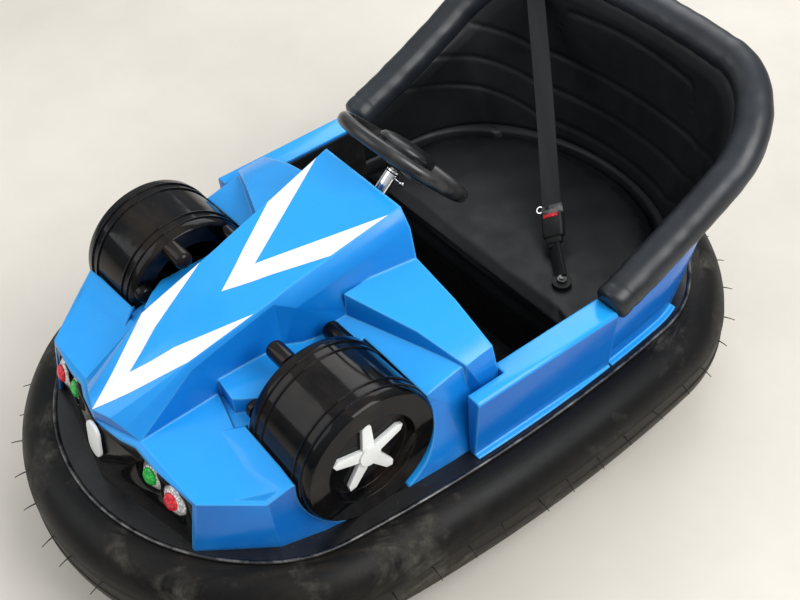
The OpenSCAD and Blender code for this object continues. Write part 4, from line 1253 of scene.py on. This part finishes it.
@dataclass
class Seat:
    """Padded lining, cushion and roll of the tub."""

    shop: Shop
    tub: TubLine
    lining_gap: float = 0.0092
    lining_t: float = 0.034
    cushion_top: float = 0.338
    cushion_t: float = 0.090
    cushion_front: float = 0.228
    cushion_half_w: float = 0.380
    cushion_inset: float = 0.146
    cap_move: float = 0.010
    skirt_low: float = 0.235
    seam_angle: float = math.radians(137.5)
    seam_w: float = 0.009
    seam_depth: float = 0.0042
    pleats: tuple[float, ...] = (0.377, 0.455, 0.540)
    border_z: float = 0.655
    border_from: float = 0.715
    roll_length: float = 1.75
    crown: float = 0.012
    dip: float = 0.006

    def groove(self, distance: float, width: float, depth: float) -> float:
        """Returns how deep a stitched line draws the pad in at a distance from it."""
        u = abs(distance) / width
        return 0.0 if u >= 1 else depth * (1 - u) ** 2 * (1 + 2 * u) ** 0.5

    def lining_depth(self, share: float, z: float, top: float) -> float:
        """Returns how far the lining's face stands in at a point, with its pleats and rounded border.

        Args:
            share: Way along the tub.
            z: Height of the point.
            top: Height of the lining's upper edge there.

        Returns:
            Change of its thickness.
        """
        side = 1 - abs(2 * share - 1)
        deep = 0.0
        for height in self.pleats:
            lift = 0.42 * max(0.0, 0.60 - side) * 0.62
            fade = min(1.0, max(0.0, (side - 0.06) / 0.05))
            deep = max(deep, fade * self.groove(z - height - lift, self.seam_w, self.seam_depth))
        border_z = self.border_z + 0.015 * math.cos(math.pi * (side - 1.0) * 2)
        if side > self.border_from:
            drop = max(0.0, 1 - (side - self.border_from) / 0.05)
            deep = max(deep, self.groove(z - border_z + 0.055 * drop * drop, self.seam_w, self.seam_depth))
        edge = min(1.0, max(0.0, (top - z) / 0.030), max(0.0, (z - self.cushion_top) / 0.010 + 0.4))
        return -deep - 0.010 * (1 - math.sqrt(edge))

    def lining(self) -> Object:
        """Builds the padded lining with its pleats."""
        bm, stations = bmesh.new(), []
        count, rows, low = 240, 64, self.cushion_top + 0.0006
        for k in range(count + 1):
            share = k / count
            wall_top = self.tub.top(share)
            top = wall_top + 0.030
            z = [low + (top - low) * j / rows for j in range(rows + 1)]
            pad = 0.0008 * math.sin(math.pi * min(1.0, share * 14, (1 - share) * 14))
            depth = self.lining_gap + self.lining_t + pad
            face = [self.tub.wall(share, -depth - self.lining_depth(share, h, top), h) for h in z]
            back = [self.tub.wall(share, -self.lining_gap, low + (wall_top - low) * j / 6) for j in range(7)]
            stations.append(face + list(reversed(back)))
        bridged(bm, stations, True)
        tidy(bm)
        piece = self.shop.piece("tub_lining", bm, "black_vinyl", smooth=60.0, stands_for=("seat_back",))
        return piece

    def tuck(self) -> None:
        """Builds the lining's skirt, which hangs between the tub's wall and the cushion."""
        bm, stations, pivot = bmesh.new(), [], self.tub.back - self.tub.corner
        top, low, count = self.cushion_top, self.skirt_low, 180
        section = [(0.1210, top - 0.0010), (0.1440, top - 0.0030), (0.1505, top - 0.0120), (0.1505, low),
                   (0.1475, low), (0.1475, top - 0.0120), (0.1210, top - 0.0070)]
        for k in range(count + 1):
            p = self.tub.roll(k / count)
            stations.append([Vector((*self.tub.oval.foot(p.x, p.y, pivot, inset), z)) for inset, z in section])
        bridged(bm, stations, True)
        self.shop.piece("lining_skirt", tidy(bm), "black_vinyl", smooth=60.0)

    def roll(self) -> Object:
        """Builds the padded roll with its seam, faint wrinkles and capped ends."""
        bm, dice, stations = bmesh.new(), random.Random(3), []
        count, sides = 300, 40
        waves = [(dice.uniform(12, 50), dice.uniform(0, math.tau), dice.uniform(0.0001, 0.0003))
                 for _ in range(7)]
        for k in range(count + 1):
            share = k / count
            p, ahead, side = self.tub.frame(share)
            up = side.cross(ahead)
            up = up if up.z > 0 else -up
            way = min(share, 1 - share) * self.roll_length
            end = math.sqrt(max(0.0, 1 - (1 - min(1.0, way / 0.016)) ** 2)) * 0.28 + 0.72
            cap = self.groove(way - 0.034, 0.006, 0.0022)
            ring = []
            for j in range(sides):
                angle = math.tau * j / sides
                swell = sum(a * math.sin(f * share * 6.3 + ph + 1.7 * angle) for f, ph, a in waves)
                turn = (angle - self.seam_angle + math.pi) % math.tau - math.pi
                seam = self.groove(turn * self.tub.roll_r, 0.004, 0.0016)
                r = (self.tub.roll_r - 0.001) * end + swell - seam - cap
                ring.append(p + r * (math.cos(angle) * side + math.sin(angle) * up))
            stations.append(ring)
        bridged(bm, stations, True)
        tidy(bm)
        # The roll takes the lighter painted-light copy of the black vinyl.
        piece = self.shop.piece("tub_roll", bm, "black_vinyl", smooth=70.0, stands_for=("rim_roll",),
                                finish="lit_roll_vinyl")
        return piece

    def cushion_blank(self) -> bmesh.types.BMesh:
        """Returns the cushion's starting block, a little smaller than its place, with rounded edges."""
        bm, shrink, pivot, low = bmesh.new(), 0.002, 0.30, self.cushion_top - self.cushion_t
        half, inset = self.cushion_half_w - shrink, self.cushion_inset + shrink
        outline = [Vector((half, self.cushion_front + shrink, 0))]
        for k in range(49):
            angle = math.radians(2 + 88 * k / 48)
            hit = self.tub.oval.foot(math.cos(angle), pivot + math.sin(angle), pivot, inset)
            outline.append(Vector((min(half, hit.x), hit.y, 0)))
        outline += [Vector((-p.x, p.y, 0)) for p in reversed(outline)]
        bm.faces.new([bm.verts.new(p + UP * (low + 0.002)) for p in outline])
        bmesh.ops.remove_doubles(bm, verts=bm.verts, dist=0.004)
        grown = bmesh.ops.extrude_face_region(bm, geom=bm.faces[:])["geom"]
        verts = [g for g in grown if isinstance(g, bmesh.types.BMVert)]
        bmesh.ops.translate(bm, verts=verts, vec=(0, 0, self.cushion_t - 0.012))
        tidy(bm)
        rim = [e for e in bm.edges if e.calc_face_angle(0.0) > math.radians(50)
               and min(v.co.z for v in e.verts) > self.cushion_top - 0.02]
        eased(bm, rim, 0.013, 4)
        return bm

    def inflate(self, obj: Object) -> None:
        """Puffs the cushion by a short cloth simulation, held within a small movement.

        Args:
            obj: The cushion, whose mesh is replaced by the result.
        """
        context = bpy.context
        remesh = obj.modifiers.new("voxels", "REMESH")
        remesh.mode, remesh.voxel_size = "VOXEL", 0.0060
        mesh = bpy.data.meshes.new_from_object(obj.evaluated_get(context.evaluated_depsgraph_get()))
        obj.modifiers.clear()
        obj.data = mesh
        rest = [v.co.copy() for v in mesh.vertices]
        cloth = obj.modifiers.new("puff", "CLOTH")
        cloth.settings.use_pressure = True
        cloth.settings.uniform_pressure_force = 4.0
        cloth.settings.effector_weights.gravity = 0.0
        cloth.settings.quality = 3
        held, low = obj.vertex_groups.new(name="held"), self.cushion_top - self.cushion_t + 0.030
        held.add([v.index for v in mesh.vertices if v.co.z < low], 1.0, "REPLACE")
        cloth.settings.vertex_group_mass = "held"
        for frame in range(1, 21):
            context.scene.frame_set(frame)
        puffed = bpy.data.meshes.new_from_object(obj.evaluated_get(context.evaluated_depsgraph_get()))
        obj.modifiers.clear()
        obj.vertex_groups.clear()
        for vertex, start in zip(puffed.vertices, rest):
            move = vertex.co - start
            if move.length > self.cap_move:
                move = move.normalized() * self.cap_move
            vertex.co = start + move
        obj.data = puffed
        context.scene.frame_set(1)

    def cushion(self) -> Object:
        """Builds the seat cushion."""
        piece = self.shop.piece("seat_pad", self.cushion_blank(), "black_vinyl", smooth=60.0,
                                stands_for=("seat_cushion",))
        self.inflate(piece)
        bm = bmesh.new()
        bm.from_mesh(piece.data)
        low, high = self.cushion_top - self.cushion_t + 0.0005, self.cushion_top + self.crown
        for v in bm.verts:
            across = v.co.x / self.cushion_half_w
            v.co.z = min(high, max(low, v.co.z))
            if v.co.z > self.cushion_top - 0.03:
                v.co.z -= self.dip * max(0.0, 1 - 4 * across * across)
                ripple = math.sin(v.co.x * 41 + v.co.y * 13) * math.sin(v.co.y * 37 - v.co.x * 9)
                v.co.z += 0.0012 * ripple
            v.co.y = max(v.co.y, self.cushion_front - 0.004)
        welt_z = self.cushion_top - 0.024
        for v in bm.verts:
            if v.co.y < self.cushion_front + 0.02:
                v.co.y += self.groove(v.co.z - welt_z, 0.007, 0.003)
        bm.to_mesh(piece.data)
        bm.free()
        piece.data.materials.clear()
        piece.data.materials.append(self.shop.finishes["black_vinyl"])
        piece.data.polygons.foreach_set("use_smooth", [True] * len(piece.data.polygons))
        smooth = piece.modifiers.new("finish", "SUBSURF")
        smooth.levels = smooth.render_levels = 1
        return piece

    def build(self) -> None:
        """Builds the soft pieces."""
        self.lining()
        self.tuck()
        self.roll()
        self.cushion()


@dataclass
class Belt:
    """Belt strap, buckle with its red button, stalk and floor anchor."""

    shop: Shop
    buckle: Vector = Vector((0.122, 0.402, 0.383))
    top: Vector = Vector((-0.262, 0.696, 0.652))
    foot: Vector = Vector((0.236, 0.322, 0.357))
    width: float = 0.047
    thickness: float = 0.0022
    tail: float = 0.045
    sag: float = 0.004
    ripple: float = 0.0006
    bolt_z: float = 0.3543
    loop: tuple[float, float, float] = (0.0065, 0.0085, 0.0014)

    def axes(self, start: Vector, end: Vector) -> tuple[Vector, Vector, Vector]:
        """Returns the strap's direction, its side and its face's normal."""
        along = (end - start).normalized()
        side = along.cross(Vector((0.4, -0.9, 0.3))).normalized()
        return along, side, side.cross(along)

    def build(self) -> None:
        """Builds the belt's pieces."""
        run = self.top - self.buckle
        along, side, face = self.axes(self.buckle, self.top)
        start, end = self.buckle + 0.08 * run, self.top + self.tail * along
        bm, stations, steps = bmesh.new(), [], 60
        for k in range(steps + 1):
            u = k / steps
            middle = start.lerp(end, u) - face * self.sag * math.sin(math.pi * u)
            stations.append([middle + side * self.width * (j / 6 - 0.5)
                             + face * self.ripple * math.sin(9 * u + j) for j in range(7)])
        bridged(bm, stations, False)
        bmesh.ops.recalc_face_normals(bm, faces=bm.faces)
        uv = bm.loops.layers.uv.new("weave")
        for f in bm.faces:
            for loop in f.loops:
                off = loop.vert.co - start
                loop[uv].uv = (off.dot(side), off.dot(along))
        bmesh.ops.solidify(bm, geom=bm.faces[:], thickness=self.thickness)
        strap = self.shop.piece("belt_webbing", bm, "webbing", smooth=40.0, stands_for=("belt_strap",))
        slot = bmesh.new()
        basis = Matrix((side, along, face)).transposed().to_4x4()
        rounded_box(slot, Vector((0.068, 0.010, 0.022)), Matrix.Translation(end) @ basis, 0.003, 3)
        self.shop.piece("belt_slot", slot, "black_panel", smooth=40.0)
        self.buckle_piece(along, side, face, run)
        self.stalk()

    def buckle_piece(self, along: Vector, side: Vector, face: Vector, run: Vector) -> None:
        """Builds the buckle's case, its tongue and its button.

        Args:
            along: Direction of the strap.
            side: Direction across it.
            face: Normal of its face.
            run: The strap's whole run.
        """
        basis = Matrix((side, along, face)).transposed().to_4x4()
        middle = self.buckle + 0.006 * run
        def moved(way: float, lift: float = 0.0, across: float = 0.0) -> Matrix:
            """Returns a place on the buckle, moved along, off and across the strap."""
            return Matrix.Translation(middle + along * way + face * lift + side * across) @ basis

        case = bmesh.new()
        rounded_box(case, Vector((0.052, 0.058, 0.020)), moved(0.0), 0.006, 3)
        rounded_box(case, Vector((0.040, 0.020, 0.014)), moved(-0.032), 0.004, 2)
        self.shop.piece("buckle_case", case, "black_panel", smooth=40.0, stands_for=("belt_buckle",))
        tongue = bmesh.new()
        rounded_box(tongue, Vector((0.055, 0.022, 0.005)), moved(0.040), 0.0018, 2)
        self.shop.piece("belt_tongue", tongue, "black_steel", smooth=40.0)
        ring, (inner, outer, half) = bmesh.new(), self.loop
        turned(ring, [(inner, -half), (outer, -half), (outer, half), (inner, half), (inner, -half)],
               moved(0.046, across=-0.031), 20)
        self.shop.piece("tongue_loop", ring, "bright_trim", smooth=40.0)
        button = bmesh.new()
        rounded_box(button, Vector((0.036, 0.009, 0.006)), moved(0.0235, 0.0085), 0.0016, 2)
        self.shop.piece("buckle_button", button, "red_lens", smooth=40.0)

    def stalk(self) -> None:
        """Builds the stalk between the buckle and its anchor, and the anchor's bolt."""
        stem = self.shop.refine("belt_anchor", 0.0012, 40.0, 2)
        stem.data.materials.clear()
        stem.data.materials.append(self.shop.finishes["black_panel"])
        bolt = bmesh.new()
        hex_bolt(bolt, Matrix.Translation((self.foot.x, self.foot.y, self.bolt_z)), 0.015, 0.006)
        self.shop.piece("belt_bolt", bolt, "black_steel", smooth=30.0)


@dataclass
class Steering:
    """Steering wheel, pad, column and pedal."""

    shop: Shop
    middle: Vector = Vector((0.0, 0.084, 0.682))
    tilt: float = math.radians(42)
    rim_r: float = 0.142
    rim_half: float = 0.0148
    column_r: float = 0.015
    square: float = 0.92
    ring_z: tuple[float, float] = (-0.0375, -0.0405)
    pad: tuple[tuple[float, float], ...] = (
        (0.050, -0.0097), (0.062, -0.0007), (0.066, 0.0123), (0.066, 0.0203), (0.060, 0.0273), (0.046, 0.0313))
    hub: tuple[tuple[float, float], ...] = (
        (0.0, -0.028), (0.031, -0.028), (0.034, -0.025), (0.034, -0.013), (0.031, -0.010), (0.0, -0.010))

    @property
    def place(self) -> Matrix:
        """Middle of the wheel, with Z up the column."""
        return Matrix.Translation(self.middle) @ Matrix.Rotation(self.tilt - math.pi / 2, 4, "X")

    def wheel(self) -> None:
        """Builds the wheel: a lipped rim, three dished spokes and a hub."""
        bm = bmesh.new()
        section = []
        for k in range(25):
            angle = math.tau * k / 24
            c, s = math.cos(angle), math.sin(angle)
            section.append((self.rim_r + self.rim_half * math.copysign(abs(c) ** self.square, c),
                            self.rim_half * math.copysign(abs(s) ** self.square, s)))
        section[-1] = section[0]
        turned(bm, section, self.place, 120)
        for k in range(3):
            turn = self.place @ Matrix.Rotation(math.radians(-30 + 120 * k), 4, "Z")
            for size, x, z in ((Vector((0.114, 0.030, 0.008)), 0.081, -0.016),
                               (Vector((0.100, 0.012, 0.008)), 0.076, -0.021)):
                rounded_box(bm, size, turn @ Matrix.Translation((x, 0, z)), 0.003, 3)
        turned(bm, self.hub, self.place, 48)
        self.shop.piece("steering_rim", bm, "wheel_rim_plastic", "steering", 35.0, ("steering_wheel",))
        pad = bmesh.new()
        turned(pad, [(0.0, self.pad[0][1]), *self.pad, (0.024, 0.0331), (0.0, 0.0333)], self.place, 72)
        rim = [e for e in pad.edges if e.calc_face_angle(0.0) > math.radians(12)]
        eased(pad, rim, 0.0030, 3)
        self.shop.piece("wheel_crash_pad", pad, "wheel_rim_plastic", "steering", 60.0, ("wheel_pad",))

    def build(self) -> None:
        """Builds the steering wheel, the column with its ring and the parts round it."""
        self.wheel()
        for node in ("column_jacket", "steering_shaft"):
            self.shop.refine(node, 0.0, 35.0)
        for node in ("dash_panel", "column_stand", "pedal"):
            self.shop.refine(node, 0.0008, 30.0)
        ring, inner, outer = bmesh.new(), self.column_r - 0.0004, self.column_r + 0.0008
        high, low = self.ring_z
        turned(ring, [(inner, high), (outer, high), (outer, low), (inner, low), (inner, high)], self.place, 48)
        self.shop.piece("column_ring", ring, "black_panel", smooth=35.0)


@dataclass
class Underside:
    """Chassis, drive unit, rear wheels and battery."""

    shop: Shop
    drive: Vector = Vector((0.0, -0.38, 0.11))
    drive_r: float = 0.110
    tread_bars: int = 36
    bolt_ring: float = 0.034

    def tread(self) -> None:
        """Lays the drive tyre's cross bars."""
        bm = bmesh.new()
        for k in range(self.tread_bars):
            turn = Matrix.Translation(self.drive) @ Matrix.Rotation(math.tau * k / self.tread_bars, 4, "X")
            for side in (1, -1):
                seat = turn @ Matrix.Translation((side * 0.0115, 0.002 * side, self.drive_r - 0.0009))
                slant = Matrix.Rotation(side * 0.5, 4, "Z")
                rounded_box(bm, Vector((0.020, 0.0080, 0.0016)), seat @ slant, 0.0004, 1)
        self.shop.piece("drive_tread", bm, "tyre_rubber", "drive_wheel", None)

    def bolts(self) -> None:
        """Sets the bolts of the hubs, the drive bridge and the axle brackets."""
        bm = bmesh.new()
        for x in (-0.205, 0.205):
            for y in (-0.43, -0.33):
                hex_bolt(bm, Matrix.Translation((x, y, 0.276)), 0.014, 0.007)
        for k in range(6):
            angle, reach = math.tau * k / 6, self.bolt_ring
            seat = Vector((reach * math.cos(angle), self.drive.y + reach * math.sin(angle), 0.304))
            hex_bolt(bm, Matrix.Translation(seat), 0.010, 0.005)
        for x in (-0.036, 0.036):
            for y in (-0.190, -0.150):
                hex_bolt(bm, Matrix.Translation((x, y, 0.1443)), 0.009, 0.004)
        self.shop.piece("frame_bolts", bm, "bare_steel", smooth=30.0)
        low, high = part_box("rear_hub_left")
        middle = (low + high) / 2
        for side, hand in SIDES:
            nuts = bmesh.new()
            for k in range(5):
                angle, reach = math.tau * (k + 0.5) / 5, self.bolt_ring
                y, z = middle.y + reach * math.cos(angle), middle.z + reach * math.sin(angle)
                seat = Vector((side * high.x, y, z))
                hex_bolt(nuts, aimed(seat, Vector((side, 0, 0))), 0.011, 0.005)
            self.shop.piece(f"hub_nuts_{hand}", nuts, "bare_steel", f"rear_wheel_{hand}", 30.0)

    def battery(self) -> None:
        """Adds the battery's lid, terminals and strap."""
        low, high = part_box("battery_block")
        bm = bmesh.new()
        centre = (low + high) / 2
        for x in (-0.13, 0.0, 0.13):
            rounded_box(bm, Vector((0.118, high.y - low.y - 0.012, 0.004)),
                        Matrix.Translation((x, centre.y, high.z + 0.0020)), 0.0015, 2)
        self.shop.piece("battery_lids", bm, "battery_case", smooth=30.0)
        posts = bmesh.new()
        for x in (-0.165, -0.095, -0.035, 0.035, 0.095, 0.165):
            turned(posts, [(0.0, 0.0), (0.008, 0.0), (0.007, 0.004), (0.0, 0.004)],
                   Matrix.Translation((x, low.y + 0.03, high.z + 0.0040)), 20)
        self.shop.piece("battery_posts", posts, "bare_steel", smooth=30.0)

    def build(self) -> None:
        """Builds what lies under the body."""
        for node in ("drive_tyre", "rear_tyre_left", "rear_tyre_right", "rear_hub_left", "rear_hub_right",
                     "drive_motor", "rear_axle", "drive_fork", "drive_bridge"):
            self.shop.refine(node, 0.0, 32.0)
        self.tread()
        self.bolts()
        self.battery()


@dataclass
class Studio:
    """Camera at the photograph's place, a plain pale floor and soft light."""

    place: Vector = Vector((1.727, -1.181, 2.364))
    azimuth: float = math.radians(54.5)
    elevation: float = math.radians(44.33)
    roll: float = math.radians(-4.09)
    lens: float = 59.4
    floor_half: float = 9.0
    floor_colour: tuple[float, float, float] = (0.68, 0.632, 0.556)
    sky_colour: tuple[float, float, float, float] = (0.92, 0.96, 1.0, 1.0)
    aim_z: float = 0.35
    lamps: tuple[tuple[str, Vector, float, float], ...] = (
        ("key_light", Vector((2.9, 0.9, 3.4)), 2.6, 150.0),
        ("fill_light", Vector((-1.8, -3.0, 2.8)), 2.8, 42.0),
        ("back_light", Vector((-1.9, 2.6, 3.0)), 2.6, 60.0))

    def camera(self) -> None:
        """Places the camera by its azimuth, elevation and roll."""
        a, e = self.azimuth, self.elevation
        back = Vector((math.sin(a) * math.cos(e), -math.cos(a) * math.cos(e), math.sin(e)))
        level = (-back).cross(UP).normalized()
        upright = level.cross(-back)
        right = math.cos(self.roll) * level + math.sin(self.roll) * upright
        top = -math.sin(self.roll) * level + math.cos(self.roll) * upright
        data = bpy.data.cameras.new("photo_camera")
        data.lens, data.sensor_width = self.lens, 36.0
        obj = linked("photo_camera", data)
        turn = Matrix((right, top, back)).transposed().to_4x4()
        obj.matrix_world = Matrix.Translation(self.place) @ turn
        bpy.context.scene.camera = obj

    def lamp(self, name: str, place: Vector, size: float, power: float) -> None:
        """Hangs one square soft light that faces the car.

        Args:
            name: Its name.
            place: Where it hangs.
            size: Side of the square.
            power: Its power in watts.
        """
        data = bpy.data.lights.new(name, "AREA")
        data.shape, data.size, data.energy = "SQUARE", size, power
        linked(name, data).matrix_world = aimed(place, place - self.aim_z * UP)

    def floor(self) -> None:
        """Lays the pale floor."""
        bm = bmesh.new()
        bmesh.ops.create_grid(bm, x_segments=1, y_segments=1, size=self.floor_half)
        mesh = bpy.data.meshes.new("floor")
        bm.to_mesh(mesh)
        bm.free()
        g = Graph("pale_floor")
        darker = tuple(0.88 * c for c in self.floor_colour)
        tone = g.blend(g.span(g.noise(1.1, 8.0, 0.62), 0.38, 0.68), self.floor_colour, darker)
        grit = g.relief(g.noise(90.0, 6.0, 0.7), 0.15, 0.001)
        mesh.materials.append(g.surface(Base_Color=tone, Roughness=0.85, Normal=grit))
        linked("floor", mesh)

    def sky(self) -> None:
        """Makes the world: brighter overhead than at the horizon, and plain white behind the car."""
        world = bpy.data.worlds.new("studio")
        bpy.context.scene.world = world
        world.use_nodes = True
        tree = world.node_tree
        background = tree.nodes["Background"]
        axes = tree.nodes.new("ShaderNodeSeparateXYZ")
        tree.links.new(tree.nodes.new("ShaderNodeTexCoord").outputs["Generated"], axes.inputs[0])
        height = tree.nodes.new("ShaderNodeMapRange")
        tree.links.new(axes.outputs[2], height.inputs["Value"])
        for name, number in (("From Min", -0.1), ("From Max", 0.9), ("To Min", 0.18), ("To Max", 0.90)):
            height.inputs[name].default_value = number
        seen = tree.nodes.new("ShaderNodeMath")
        seen.operation = "MAXIMUM"
        tree.links.new(height.outputs[0], seen.inputs[0])
        tree.links.new(tree.nodes.new("ShaderNodeLightPath").outputs["Is Camera Ray"], seen.inputs[1])
        tree.links.new(seen.outputs[0], background.inputs["Strength"])
        background.inputs["Color"].default_value = self.sky_colour

    def build(self) -> None:
        """Builds the camera, the floor, the lights and the world."""
        self.camera()
        self.floor()
        for lamp in self.lamps:
            self.lamp(*lamp)
        self.sky()
        bpy.context.scene.view_settings.view_transform = "Standard"


def main() -> None:
    """Builds the car's looks in order."""
    logging.basicConfig(level=logging.INFO, format="%(name)s %(message)s")
    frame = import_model()
    shop = Shop(frame)
    shop.paint_nodes()
    oval = Oval()
    tub = TubLine(oval)
    Bumper(shop, oval).build()
    Body(shop, tub).build()
    Drums(shop).build()
    Seat(shop, tub).build()
    Belt(shop).build()
    Steering(shop).build()
    Underside(shop).build()
    Studio().build()


if __name__ == "__main__":
    main()
